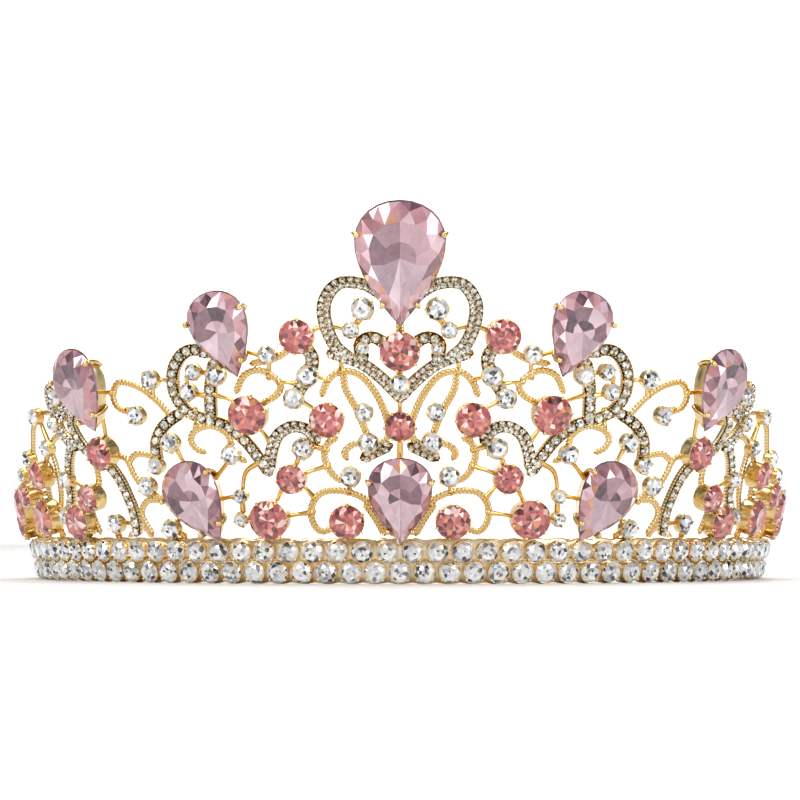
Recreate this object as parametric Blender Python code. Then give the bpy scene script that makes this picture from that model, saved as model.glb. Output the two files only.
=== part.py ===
"""Tiara: a flared open band with two rows of clear stones, pierced scrollwork above it,
eight pear-cut stones, thirty round coral stones and a wire with a hair loop at each end.

The frame is metres with +Z up. The front faces -Y, the wearer's head goes in from below
and the band's flat lower edge lies in the plane z = 0.
"""
import math
import bpy
import bmesh
import numpy as np
from mathutils import Vector
from mathutils.geometry import delaunay_2d_cdt

# Sizes of the head curve, seen from above: an ellipse whose front middle is the origin.
HALF_WIDTH = 0.0770
HALF_DEPTH = 0.0680
BAND_HALF_LENGTH = 0.1310
FLARE_DEG = 14.0

# The band: a plate that leans out by the flare, with two staggered rows of stones.
BAND_HEIGHT = 0.0096
BAND_THICKNESS = 0.0012
STONE_PITCH = 0.00485
BAND_STONE_WIDTH = 0.0044
CUP_WALL = 0.00010
CUP_RISE = 0.0012
CROWN_RISE = 0.0008
CROWN_SHARE = 0.58
LOWER_ROW_HEIGHT = 0.0028
ROW_SPACING = 0.0042

# The openwork: heights are along the leaning wall, from the band's lower edge. Its feet
# stand at FOOT_SHARE of the crest's height in the tables below.
CREST_HEIGHT = 0.0780
FOOT_SHARE = 0.134
CLEAR_STONE_WIDTH = 0.0040
WIRE_WIDTH = 0.0011
WIRE_RISE = 0.0012
RIBBON_WIDTH = 0.0021
RIBBON_RISE = 0.0014
TIE_WIDTH = 0.0011
TIE_RISE = 0.0012
CURVE_ERROR = 0.00032
MERGE_DISTANCE = 0.00006
PINCH_ROUNDS = 3
OPENWORK_CUP_TOP = 0.0020

# The coloured stones stand on seats. Every loose stone keeps the same small gap.
PIECE_GAP = 0.0003
ROUND_SEAT_TOP = 0.0021
ROUND_SEAT_SHARE = 0.78
ROUND_STONE_WIDTH = 0.0080
ROUND_STONE_DEPTH = 0.0021
PEAR_SEAT_TOP = 0.0024
PEAR_SEAT_SHARE = 0.80
PEAR_STONE_WIDTH = 0.0130
PEAR_STONE_LENGTH = 0.0180
PEAR_STONE_DEPTH = 0.0036

# The side wires with their hair loops.
SIDE_WIRE_WIDTH = 0.0013
SIDE_WIRE_LENGTH = 0.0270
SIDE_WIRE_TUCK = 0.0060
LOOP_WIDTH = 0.0116
WIRE_HEIGHT = 0.0030

GOLD = (0.86, 0.66, 0.36, 1.0)
CLEAR = (0.90, 0.91, 0.93, 1.0)
LILAC = (0.86, 0.62, 0.70, 1.0)
CORAL = (0.83, 0.38, 0.38, 1.0)

# Pear stones. along is a share of BAND_HALF_LENGTH and up a share of CREST_HEIGHT, both
# for the middle of the stone. The sizes are shares of PEAR_STONE_WIDTH and
# PEAR_STONE_LENGTH, and lean turns the round end outward.
PEARS = (
    # name, along, up, width, length, lean in degrees
    ("top", 0.000, 0.842, 1.385, 1.389, 0.0),
    ("centre", 0.000, 0.233, 1.000, 1.000, 0.0),
    ("upper", 0.232, 0.666, 1.000, 1.000, 16.0),
    ("lower", 0.296, 0.230, 1.000, 1.000, 29.0),
    ("outer", 0.472, 0.531, 1.000, 1.000, 17.0),
)

# Round coral stones, shares as above, widths as shares of ROUND_STONE_WIDTH.
ROUNDS = (
    # name, along, up, width
    ("centre_upper", 0.000, 0.617, 1.000),
    ("centre_lower", 0.000, 0.425, 0.750),
    ("crest", 0.134, 0.656, 0.875),
    ("shoulder", 0.209, 0.456, 1.000),
    ("arch", 0.099, 0.442, 0.875),
    ("middle", 0.153, 0.290, 0.750),
    ("low_outer", 0.190, 0.184, 1.000),
    ("low_inner", 0.076, 0.178, 0.875),
    ("under_pear", 0.462, 0.360, 0.875),
    ("side_a", 0.505, 0.240, 0.750),
    ("side_b", 0.543, 0.176, 0.925),
    ("side_c", 0.634, 0.305, 0.750),
    ("side_d", 0.645, 0.190, 1.000),
    ("side_e", 0.706, 0.252, 0.750),
    ("side_f", 0.768, 0.222, 1.000),
    ("side_g", 0.830, 0.172, 0.850),
)

# Clear round stones of the openwork, fused to their cups. Widths are shares of
# CLEAR_STONE_WIDTH.
CLEARS = (
    # along, up, width
    (0.000, 0.530, 1.000),
    (0.048, 0.722, 1.150),
    (0.124, 0.552, 1.100),
    (0.145, 0.494, 1.050),
    (0.178, 0.607, 0.950),
    (0.254, 0.556, 1.050),
    (0.298, 0.514, 0.900),
    (0.357, 0.548, 1.000),
    (0.049, 0.458, 0.950),
    (0.044, 0.380, 1.050),
    (0.070, 0.292, 1.050),
    (0.136, 0.365, 1.100),
    (0.243, 0.350, 1.000),
    (0.338, 0.382, 1.000),
    (0.390, 0.455, 1.000),
    (0.368, 0.322, 0.900),
    (0.390, 0.268, 1.000),
    (0.357, 0.155, 1.000),
    (0.466, 0.168, 1.000),
    (0.548, 0.512, 0.900),
    (0.622, 0.462, 0.900),
    (0.566, 0.288, 0.900),
    (0.686, 0.350, 0.900),
)

# Strokes of one half of the openwork. A ribbon carries small stones, a wire is beaded, a
# tie is a short plain bar that solders two neighbours. Points are (along, up) shares.
STROKES = (
    # name, kind, points
    ("crest_loop", "ribbon", ((0.010, 0.738), (0.044, 0.781), (0.078, 0.785),
                              (0.097, 0.742), (0.098, 0.688), (0.086, 0.628),
                              (0.062, 0.588))),
    ("valley", "ribbon", ((0.098, 0.612), (0.078, 0.600), (0.050, 0.580),
                          (0.024, 0.542), (-0.006, 0.484))),
    ("inner_hook", "ribbon", ((0.012, 0.624), (0.036, 0.648), (0.052, 0.630),
                              (0.048, 0.582))),
    ("pear_neck", "wire", ((0.000, 0.750), (0.000, 0.617))),
    ("crest_tie", "tie", ((0.050, 0.700), (0.066, 0.668), (0.096, 0.676), (0.134, 0.656))),
    ("crest_fall", "ribbon", ((0.134, 0.645), (0.118, 0.598), (0.124, 0.552),
                              (0.145, 0.494))),
    ("saddle", "wire", ((0.134, 0.640), (0.158, 0.606), (0.178, 0.590),
                        (0.206, 0.582))),
    ("pear_tie", "tie", ((0.178, 0.596), (0.222, 0.620))),
    ("brow", "wire", ((0.230, 0.505), (0.216, 0.550), (0.196, 0.565), (0.176, 0.552),
                      (0.164, 0.524), (0.176, 0.494), (0.209, 0.470))),
    ("brow_tie", "tie", ((0.168, 0.535), (0.140, 0.530))),
    ("outer_arc", "ribbon", ((0.262, 0.604), (0.280, 0.622), (0.302, 0.612),
                             (0.320, 0.570), (0.323, 0.515), (0.308, 0.466),
                             (0.280, 0.442), (0.248, 0.424), (0.222, 0.386),
                             (0.202, 0.338), (0.186, 0.292))),
    ("outer_arc_end", "tie", ((0.264, 0.606), (0.236, 0.640))),
    ("stem_up", "ribbon", ((0.254, 0.600), (0.266, 0.520), (0.270, 0.436))),
    ("leaf_tie", "tie", ((0.250, 0.556), (0.298, 0.562), (0.298, 0.514),
                         (0.270, 0.500))),
    ("finial_tie", "tie", ((0.357, 0.548), (0.318, 0.540))),
    ("crook", "ribbon", ((0.190, 0.300), (0.184, 0.352), (0.172, 0.398),
                         (0.150, 0.420), (0.128, 0.410), (0.114, 0.374))),
    ("arch", "wire", ((0.108, 0.494), (0.098, 0.536), (0.080, 0.560), (0.056, 0.552),
                      (0.038, 0.518), (0.024, 0.470), (0.016, 0.420), (0.020, 0.384),
                      (0.044, 0.366))),
    ("arch_stem", "wire", ((0.076, 0.558), (0.074, 0.515), (0.058, 0.456),
                           (0.044, 0.386))),
    ("arch_foot", "tie", ((0.145, 0.494), (0.099, 0.442))),
    ("arch_top", "tie", ((0.080, 0.556), (0.078, 0.600))),
    ("heart", "wire", ((0.086, 0.392), (0.102, 0.374), (0.107, 0.344), (0.102, 0.310),
                       (0.090, 0.284), (0.070, 0.276))),
    ("heart_curl", "wire", ((0.044, 0.380), (0.066, 0.372), (0.078, 0.352),
                            (0.074, 0.330))),
    ("heart_tie", "tie", ((0.098, 0.380), (0.099, 0.430))),
    ("heart_stone", "tie", ((0.104, 0.360), (0.136, 0.365), (0.153, 0.300))),
    ("jewel_drop", "tie", ((0.000, 0.617), (0.000, 0.300))),
    ("jewel_cross", "wire", ((-0.006, 0.420), (0.024, 0.412))),
    ("low_loop", "wire", ((0.040, 0.215), (0.058, 0.238), (0.084, 0.252),
                          (0.112, 0.248), (0.128, 0.218), (0.130, 0.176),
                          (0.116, 0.146), (0.086, 0.166))),
    ("low_loop_outer", "tie", ((0.129, 0.196), (0.176, 0.184))),
    ("low_loop_up", "tie", ((0.070, 0.292), (0.074, 0.246))),
    ("vee", "wire", ((0.052, 0.222), (0.037, 0.182), (0.022, 0.134))),
    ("low_inner_foot", "tie", ((0.076, 0.170), (0.076, 0.134))),
    ("low_outer_foot", "tie", ((0.192, 0.176), (0.196, 0.134))),
    ("low_outer_up", "tie", ((0.168, 0.270), (0.190, 0.200))),
    ("pair_link", "tie", ((0.200, 0.330), (0.226, 0.300), (0.234, 0.241),
                          (0.236, 0.180))),
    ("inner_arc", "wire", ((0.326, 0.424), (0.300, 0.428), (0.270, 0.424),
                           (0.248, 0.398), (0.240, 0.350), (0.222, 0.326))),
    ("inner_arc_pear", "tie", ((0.243, 0.345), (0.278, 0.280))),
    ("down_branch", "ribbon", ((0.312, 0.462), (0.332, 0.444), (0.352, 0.418),
                               (0.366, 0.378), (0.368, 0.322))),
    ("down_stone", "tie", ((0.338, 0.382), (0.364, 0.382))),
    ("shoulder_scroll", "wire", ((0.404, 0.462), (0.426, 0.476), (0.432, 0.510),
                                 (0.416, 0.542), (0.386, 0.530), (0.358, 0.496),
                                 (0.334, 0.448))),
    ("shoulder_finial", "tie", ((0.357, 0.540), (0.362, 0.502))),
    ("shoulder_pear", "tie", ((0.430, 0.515), (0.468, 0.520))),
    ("under_pear_drop", "tie", ((0.462, 0.480), (0.462, 0.350))),
    ("side_scroll", "wire", ((0.450, 0.350), (0.428, 0.340), (0.418, 0.300),
                             (0.404, 0.262), (0.384, 0.244), (0.352, 0.214),
                             (0.320, 0.190))),
    ("side_scroll_ring", "wire", ((0.424, 0.330), (0.404, 0.352), (0.376, 0.344),
                                  (0.368, 0.322))),
    ("low_curl", "wire", ((0.398, 0.134), (0.414, 0.190), (0.400, 0.226),
                          (0.376, 0.228))),
    ("low_stone_foot", "tie", ((0.334, 0.196), (0.352, 0.160), (0.340, 0.134))),
    ("falling_arc", "ribbon", ((0.500, 0.352), (0.468, 0.330), (0.448, 0.292),
                               (0.436, 0.244), (0.428, 0.196), (0.428, 0.152),
                               (0.436, 0.136))),
    ("falling_arc_top", "tie", ((0.460, 0.360), (0.466, 0.324))),
    ("falling_stone", "tie", ((0.428, 0.165), (0.466, 0.168), (0.472, 0.134))),
    ("ear_arc", "ribbon", ((0.512, 0.498), (0.530, 0.440), (0.520, 0.392),
                           (0.500, 0.352))),
    ("ear_tie", "tie", ((0.484, 0.515), (0.520, 0.475))),
    ("plume", "ribbon", ((0.560, 0.548), (0.535, 0.536), (0.532, 0.500), (0.545, 0.470),
                         (0.567, 0.442))),
    ("plume_outer", "ribbon", ((0.560, 0.548), (0.574, 0.515), (0.567, 0.442),
                               (0.552, 0.400), (0.524, 0.368))),
    ("plume_stone", "tie", ((0.548, 0.512), (0.572, 0.512))),
    ("plume_root", "tie", ((0.530, 0.455), (0.567, 0.442))),
    ("side_arch_a", "wire", ((0.500, 0.352), (0.494, 0.310), (0.498, 0.262),
                             (0.524, 0.212), (0.514, 0.136))),
    ("side_a_seat", "tie", ((0.494, 0.280), (0.505, 0.240), (0.543, 0.180))),
    ("side_spine", "ribbon", ((0.538, 0.385), (0.556, 0.340), (0.566, 0.288),
                              (0.572, 0.236), (0.590, 0.190), (0.588, 0.136))),
    ("side_spine_seat", "tie", ((0.582, 0.210), (0.543, 0.180))),
    ("side_wave", "wire", ((0.556, 0.405), (0.582, 0.402), (0.606, 0.375),
                           (0.634, 0.330), (0.648, 0.250), (0.645, 0.190))),
    ("side_flag", "tie", ((0.606, 0.375), (0.622, 0.462), (0.573, 0.470))),
    ("side_inner_wave", "wire", ((0.606, 0.375), (0.600, 0.310), (0.606, 0.240),
                                 (0.620, 0.190), (0.600, 0.168))),
    ("side_d_foot", "tie", ((0.640, 0.190), (0.632, 0.134))),
    ("side_crown", "wire", ((0.622, 0.462), (0.652, 0.430), (0.670, 0.385),
                            (0.686, 0.350), (0.716, 0.345), (0.745, 0.305),
                            (0.780, 0.300), (0.808, 0.262), (0.836, 0.240),
                            (0.856, 0.186), (0.866, 0.134))),
    ("side_e_top", "tie", ((0.686, 0.350), (0.702, 0.260))),
    ("side_c_seat", "tie", ((0.606, 0.300), (0.652, 0.300), (0.680, 0.340))),
    ("side_e_foot", "tie", ((0.704, 0.240), (0.700, 0.134))),
    ("side_f_top", "tie", ((0.745, 0.305), (0.764, 0.240))),
    ("side_f_link", "tie", ((0.720, 0.248), (0.752, 0.226))),
    ("side_f_foot", "tie", ((0.764, 0.206), (0.758, 0.134))),
    ("side_g_top", "tie", ((0.808, 0.262), (0.828, 0.190))),
    ("side_g_foot", "tie", ((0.830, 0.160), (0.828, 0.134))),
)

LEAN = math.radians(FLARE_DEG)
SIN_LEAN = math.sin(LEAN)
COS_LEAN = math.cos(LEAN)


def base_samples():
    """Arc length, x and y of the head curve, an ellipse walked from the front middle."""
    angle = np.linspace(0.0, math.pi * 0.95, 4000)
    x = HALF_WIDTH * np.sin(angle)
    y = HALF_DEPTH * (1.0 - np.cos(angle))
    step = np.hypot(np.diff(x), np.diff(y))
    return np.concatenate(([0.0], np.cumsum(step))), x, y, angle


LENGTHS, CURVE_X, CURVE_Y, CURVE_ANGLE = base_samples()


def base_frame(along):
    """Point of the head curve and its outward normal, for a signed arc length."""
    side = -1.0 if along < 0.0 else 1.0
    angle = float(np.interp(abs(along), LENGTHS, CURVE_ANGLE))
    x = HALF_WIDTH * math.sin(angle) * side
    y = HALF_DEPTH * (1.0 - math.cos(angle))
    run = Vector((HALF_WIDTH * math.cos(angle), HALF_DEPTH * math.sin(angle) * side, 0.0))
    run.normalize()
    return Vector((x, y, 0.0)), Vector((run.y, -run.x, 0.0))


def wall_point(along, height, offset):
    """Point on the leaning wall. height runs up along it and offset stands out from its
    back face; the head curve is the middle of the plate's lower edge."""
    point, normal = base_frame(along)
    depth = offset - BAND_THICKNESS / 2.0
    out = height * SIN_LEAN + depth * COS_LEAN
    return point + normal * out + Vector((0.0, 0.0, height * COS_LEAN - depth * SIN_LEAN))


def wall_height(up):
    """Height along the wall for a share of the crest's height: the feet stand just over
    the band, whatever its height, and the crest keeps its own."""
    foot = BAND_HEIGHT + PIECE_GAP
    return foot + (CREST_HEIGHT - foot) * (up - FOOT_SHARE) / (1.0 - FOOT_SHARE)


def wall_axes(along):
    """Unit vectors along the wall, up the wall and out of it."""
    normal = base_frame(along)[1]
    sideways = Vector((-normal.y, normal.x, 0.0))
    up = normal * SIN_LEAN + Vector((0.0, 0.0, COS_LEAN))
    out = normal * COS_LEAN - Vector((0.0, 0.0, SIN_LEAN))
    return sideways, up, out


def material(name, colour, roughness, metallic):
    """Principled material with a plain colour."""
    made = bpy.data.materials.new(name)
    made.use_nodes = True
    shader = made.node_tree.nodes["Principled BSDF"]
    shader.inputs["Base Color"].default_value = colour
    shader.inputs["Roughness"].default_value = roughness
    shader.inputs["Metallic"].default_value = metallic
    made.diffuse_color = colour
    return made


def add_object(name, points, faces, collection, surface):
    """Object from points and faces, with its faces turned outward."""
    mesh = bpy.data.meshes.new(name)
    mesh.from_pydata([tuple(p) for p in points], [], faces)
    shape = bmesh.new()
    shape.from_mesh(mesh)
    bmesh.ops.recalc_face_normals(shape, faces=shape.faces)
    shape.to_mesh(mesh)
    shape.free()
    mesh.materials.append(surface)
    made = bpy.data.objects.new(name, mesh)
    collection.objects.link(made)
    return made


def ring_faces(rings, sides):
    """Faces of a stack of rings with a flat face at each end."""
    faces = []
    for ring in range(rings - 1):
        for side in range(sides):
            after = (side + 1) % sides
            low = ring * sides
            high = low + sides
            faces.append((low + side, low + after, high + after, high + side))
    faces.append(tuple(range(sides))[::-1])
    faces.append(tuple(range((rings - 1) * sides, rings * sides)))
    return faces


def turned(outline, lean):
    """Outline of (right, up) points with its top turned to the right by lean degrees."""
    turn = math.radians(lean)
    return [(right * math.cos(turn) + rise * math.sin(turn),
             rise * math.cos(turn) - right * math.sin(turn)) for right, rise in outline]


def placed(outline, along, height, lean):
    """Outline turned by lean and moved to its place, as (along, height) points."""
    return [Vector((along + right, height + rise)) for right, rise in turned(outline, lean)]


def wall_stack(along, height, outline, lean, levels):
    """Rings on the leaning wall, each one plane. outline is a list of (right, up) points
    and a level is (share of the outline, offset)."""
    sideways, up, out = wall_axes(along)
    middle = wall_point(along, height, 0.0)
    points = [middle + sideways * right * share + up * rise * share + out * offset
              for share, offset in levels for right, rise in turned(outline, lean)]
    return points, ring_faces(len(levels), len(outline))


def round_outline(width, sides=8):
    """Regular outline with a flat side below."""
    half = width / 2.0
    turns = [2.0 * math.pi * (k + 0.5) / sides - math.pi / 2.0 for k in range(sides)]
    return [(half * math.cos(t), half * math.sin(t)) for t in turns]


def pear_outline(width, length, sides=16):
    """Pear outline with its point down: up = -cos t, right = sin t sin(t / 2)."""
    widest = 0.7698
    turns = [2.0 * math.pi * k / sides for k in range(sides)]
    return [(width / 2.0 * math.sin(t) * math.sin(t / 2.0) / widest,
             -length / 2.0 * math.cos(t)) for t in turns]


def smooth_path(points):
    """Catmull-Rom curve through the points of the flat wall, in twelve steps a span."""
    spots = [Vector(p) for p in points]
    if len(spots) == 2:
        return spots
    spots = [spots[0] * 2.0 - spots[1]] + spots + [spots[-1] * 2.0 - spots[-2]]
    dense = []
    for k in range(1, len(spots) - 2):
        a, b, c, d = spots[k - 1:k + 3]
        for part in range(12):
            t = part / 12.0
            dense.append(0.5 * ((b * 2.0) + (c - a) * t
                                + (a * 2.0 - b * 5.0 + c * 4.0 - d) * t * t
                                + (b * 3.0 - a - c * 3.0 + d) * t * t * t))
    dense.append(spots[-2])
    return thinned(dense)


def thinned(path):
    """The fewest points of the path that stay within CURVE_ERROR of all the others."""
    run = path[-1] - path[0]
    if run.length < 1e-6:
        away = [(spot - path[0]).length for spot in path]
    else:
        away = [abs(run.x * (spot.y - path[0].y) - run.y * (spot.x - path[0].x))
                / run.length for spot in path]
    far = max(range(len(path)), key=lambda k: away[k])
    if away[far] < CURVE_ERROR:
        return [path[0], path[-1]]
    return thinned(path[:far + 1])[:-1] + thinned(path[far:])


def stroke_plates(path, width, rise):
    """Bar of constant width over a path of the flat wall: one four-cornered plate a span,
    as (outline, top)."""
    edges = []
    for k, spot in enumerate(path):
        before = path[max(k - 1, 0)]
        after = path[min(k + 1, len(path) - 1)]
        run = (after - before).normalized()
        across = Vector((-run.y, run.x)) * (width / 2.0)
        edges.append((spot - across, spot + across))
    return [((low[0], high[0], high[1], low[1]), rise)
            for low, high in zip(edges[:-1], edges[1:])]


def tube_body(path, width, sides):
    """Round bar along a list of points in space, its rings square to the run."""
    points = []
    for k, spot in enumerate(path):
        before = path[max(k - 1, 0)]
        after = path[min(k + 1, len(path) - 1)]
        run = (after - before).normalized()
        across = run.cross(Vector((0.0, 0.0, 1.0)))
        if across.length < 0.3:
            across = run.cross(Vector((1.0, 0.0, 0.0)))
        across.normalize()
        lift = across.cross(run)
        for corner in range(sides):
            turn = 2.0 * math.pi * (corner + 0.5) / sides
            points.append(spot + (across * math.cos(turn) + lift * math.sin(turn))
                          * (width / 2.0))
    return points, ring_faces(len(path), sides)


def closed_faces(rings, sides):
    """Faces of rings joined in a circle."""
    faces = []
    for ring in range(rings):
        for side in range(sides):
            after = (side + 1) % sides
            low = ring * sides
            high = ((ring + 1) % rings) * sides
            faces.append((low + side, low + after, high + after, high + side))
    return faces


def unite(base, others, cutters):
    """Base with all the other bodies joined to it by one exact union."""
    if base.name in cutters.objects:
        cutters.objects.unlink(base)
        bpy.context.scene.collection.objects.link(base)
    for other in others:
        for user in list(other.users_collection):
            user.objects.unlink(other)
        cutters.objects.link(other)
        other.hide_render = True
        other.display_type = "WIRE"
    join = base.modifiers.new("join", "BOOLEAN")
    join.operation = "UNION"
    join.solver = "EXACT"
    join.operand_type = "COLLECTION"
    join.collection = cutters
    join.use_self = True


def build_band(collection, cutters, surface):
    """Plate, two rows of cupped stones and the two side wires."""
    count = 2 * round(BAND_HALF_LENGTH / STONE_PITCH / 2.0)
    foot = BAND_THICKNESS / 2.0 * math.tan(LEAN)
    section = ((-foot, 0.0), (foot, BAND_THICKNESS),
               (BAND_HEIGHT, BAND_THICKNESS), (BAND_HEIGHT, 0.0))
    points = []
    for k in range(count + 1):
        along = BAND_HALF_LENGTH * (2.0 * k / count - 1.0)
        for height, offset in section:
            points.append(wall_point(along, height, offset))
    plate = add_object("band", points, ring_faces(count + 1, 4), collection, surface)

    parts = []
    half = int((BAND_HALF_LENGTH - BAND_STONE_WIDTH / 2.0) / STONE_PITCH)
    places = [(k * STONE_PITCH, LOWER_ROW_HEIGHT) for k in range(-half, half + 1)]
    places += [((k + 0.5) * STONE_PITCH, LOWER_ROW_HEIGHT + ROW_SPACING)
               for k in range(-half, half)]
    outline = round_outline(BAND_STONE_WIDTH + 2.0 * CUP_WALL)
    girdle = BAND_THICKNESS + CUP_RISE
    levels = ((1.0, BAND_THICKNESS * 0.5), (1.0, girdle),
              (CROWN_SHARE, girdle + CROWN_RISE))
    for number, (along, height) in enumerate(places):
        points, faces = wall_stack(along, height, outline, 0.0, levels)
        parts.append(add_object("band_stone_%03d" % number, points, faces,
                                collection, surface))
    for side in (-1.0, 1.0):
        parts += side_wire(side, collection, surface)
    unite(plate, parts, cutters)
    return plate


def side_wire(side, collection, surface):
    """Wire soldered inside the band's end, running back and in to a closed loop."""
    name = "left" if side < 0.0 else "right"
    start, normal = base_frame(side * (BAND_HALF_LENGTH - SIDE_WIRE_TUCK))
    end, end_normal = base_frame(side * BAND_HALF_LENGTH)
    inward = BAND_THICKNESS / 2.0 + SIDE_WIRE_WIDTH * 0.30
    lift = Vector((0.0, 0.0, WIRE_HEIGHT))
    lean_out = WIRE_HEIGHT * SIN_LEAN / COS_LEAN
    run = Vector((-end_normal.y, end_normal.x, 0.0)) * side
    path = [start + normal * (lean_out - inward) + lift,
            end + end_normal * (lean_out - inward) + lift]
    bend = math.radians(16.0)
    steps = 6
    reach = SIDE_WIRE_LENGTH / steps
    for k in range(steps):
        turn = side * (bend * (k + 0.5) / steps)
        heading = Vector((run.x * math.cos(turn) - run.y * math.sin(turn),
                          run.x * math.sin(turn) + run.y * math.cos(turn), 0.0))
        path.append(path[-1] + heading * reach)
    points, faces = tube_body(path, SIDE_WIRE_WIDTH, 5)
    wire = add_object("side_wire_" + name, points, faces, collection, surface)

    radius = (LOOP_WIDTH - SIDE_WIRE_WIDTH) / 2.0
    middle = path[-1] + heading * (radius - SIDE_WIRE_WIDTH * 0.25)
    upright = Vector((0.0, 0.0, 1.0))
    points = []
    rings = 12
    # The loop stands upright, so it is lifted until its lowest wire clears the floor.
    middle = middle + Vector((0.0, 0.0, radius + SIDE_WIRE_WIDTH / 2.0 - WIRE_HEIGHT))
    for k in range(rings):
        turn = 2.0 * math.pi * k / rings
        out = heading * math.cos(turn) + upright * math.sin(turn)
        face = heading.cross(upright)
        for corner in range(5):
            around = 2.0 * math.pi * (corner + 0.5) / 5
            points.append(middle + out * radius
                          + (out * math.cos(around) + face * math.sin(around))
                          * (SIDE_WIRE_WIDTH / 2.0))
    loop = add_object("hair_loop_" + name, points, closed_faces(rings, 5),
                      collection, surface)
    return [wire, loop]


def half_places(rows):
    """Each row of a table with the side it is built on; a middle row comes once."""
    for row in rows:
        yield row, 1.0
        if row[0] != 0.0:
            yield row, -1.0


def flat_plates():
    """Strokes, cups and seats of the scrollwork over the flat wall, as (outline, top). A
    top of nothing keeps its strip clear: the feet end just over the band."""
    kinds = {"ribbon": (RIBBON_WIDTH, RIBBON_RISE), "wire": (WIRE_WIDTH, WIRE_RISE),
             "tie": (TIE_WIDTH, TIE_RISE)}
    reach = BAND_HALF_LENGTH * 1.2
    foot = wall_height(FOOT_SHARE)
    plates = [((Vector((-reach, -foot)), Vector((reach, -foot)), Vector((reach, foot)),
                Vector((-reach, foot))), 0.0)]
    for name, kind, shares in STROKES:
        spots = [(a * BAND_HALF_LENGTH, wall_height(u)) for a, u in shares]
        path = smooth_path(spots)
        plates += stroke_plates(path, *kinds[kind])
        if max(along for along, up in shares) > 0.0:
            path = [Vector((-spot.x, spot.y)) for spot in path]
            plates += stroke_plates(path, *kinds[kind])
    for (along, up, width), side in half_places(CLEARS):
        outline = round_outline(width * CLEAR_STONE_WIDTH + 2.0 * CUP_WALL)
        plates.append((placed(outline, side * along * BAND_HALF_LENGTH, wall_height(up), 0.0),
                       OPENWORK_CUP_TOP))
    for (along, up, width), side in half_places([row[1:] for row in ROUNDS]):
        outline = round_outline(width * ROUND_STONE_WIDTH * ROUND_SEAT_SHARE)
        plates.append((placed(outline, side * along * BAND_HALF_LENGTH, wall_height(up), 0.0),
                       ROUND_SEAT_TOP))
    for (along, up, width, length, lean), side in half_places([row[1:] for row in PEARS]):
        outline = pear_outline(width * PEAR_STONE_WIDTH * PEAR_SEAT_SHARE,
                               length * PEAR_STONE_LENGTH * PEAR_SEAT_SHARE, 12)
        plates.append((placed(outline, side * along * BAND_HALF_LENGTH, wall_height(up),
                              side * lean), PEAR_SEAT_TOP))
    return plates


def area_of(outline):
    """Signed area of an outline, positive where it runs anticlockwise."""
    return 0.5 * sum(a.x * b.y - b.x * a.y
                     for a, b in zip(outline, list(outline[1:]) + [outline[0]]))


def flat_cells(plates):
    """The flat wall cut into three-cornered cells by the plates' outlines: their corner
    spots, the cells, each cell's height and the heights that meet at each corner. A cell
    is as high as the highest plate over it, and empty in a strip that is kept clear."""
    corners = []
    outlines = []
    for outline, top in plates:
        outline = list(outline)
        if area_of(outline) < 0.0:
            outline.reverse()
        outlines.append(list(range(len(corners), len(corners) + len(outline))))
        corners += outline
    cut = delaunay_2d_cdt(corners, [], outlines, 1, MERGE_DISTANCE, True)
    spots, cells, owners = cut[0], cut[2], cut[5]
    tops = [[plates[k][1] for k in owner] for owner in owners]
    heights = [max(over, default=0.0) if min(over, default=0.0) > 0.0 else 0.0
               for over in tops]
    levels = [{0.0} for spot in spots]
    for cell, height in zip(cells, heights):
        for corner in cell:
            levels[corner].add(height)
    return spots, cells, heights, [sorted(level) for level in levels]


def upright_faces(cells, heights):
    """Directed edges of the cells that stand over a lower neighbour, as (start, end, low,
    high)."""
    beside = {}
    for cell, height in zip(cells, heights):
        for k, corner in enumerate(cell):
            beside[(corner, cell[(k + 1) % 3])] = height
    return [(start, end, beside.get((end, start), 0.0), height)
            for (start, end), height in beside.items()
            if height > beside.get((end, start), 0.0)]


def pinched(plates):
    """Small plates for the spots where two bars would meet along one upright line only."""
    spots, cells, heights, levels = flat_cells(plates)
    counts = {}
    for start, end, low, high in upright_faces(cells, heights):
        for corner in (start, end):
            for level in levels[corner]:
                if low < level <= high:
                    counts[(corner, level)] = counts.get((corner, level), 0) + 1
    outline = round_outline(TIE_WIDTH)
    return [(placed(outline, spots[corner].x, spots[corner].y, 0.0), level)
            for (corner, level), count in counts.items() if count > 2]


def terraced(plates):
    """Points and faces of one solid made of all the plates: each cell has a top and a
    bottom, and an upright face stands wherever two neighbouring cells differ."""
    for attempt in range(PINCH_ROUNDS):
        plates = plates + pinched(plates)
    spots, cells, heights, levels = flat_cells(plates)
    numbers = {}
    points = []

    def number(corner, level):
        if (corner, level) not in numbers:
            numbers[(corner, level)] = len(points)
            points.append((spots[corner].x, spots[corner].y, level))
        return numbers[(corner, level)]

    faces = []
    for cell, height in zip(cells, heights):
        if height > 0.0:
            faces.append([number(corner, height) for corner in cell])
            faces.append([number(corner, 0.0) for corner in reversed(cell)])
    for start, end, low, high in upright_faces(cells, heights):
        rise = [number(end, level) for level in levels[end] if low <= level <= high]
        fall = [number(start, level) for level in levels[start] if low <= level <= high]
        faces.append(rise + fall[::-1])
    return points, faces


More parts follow.
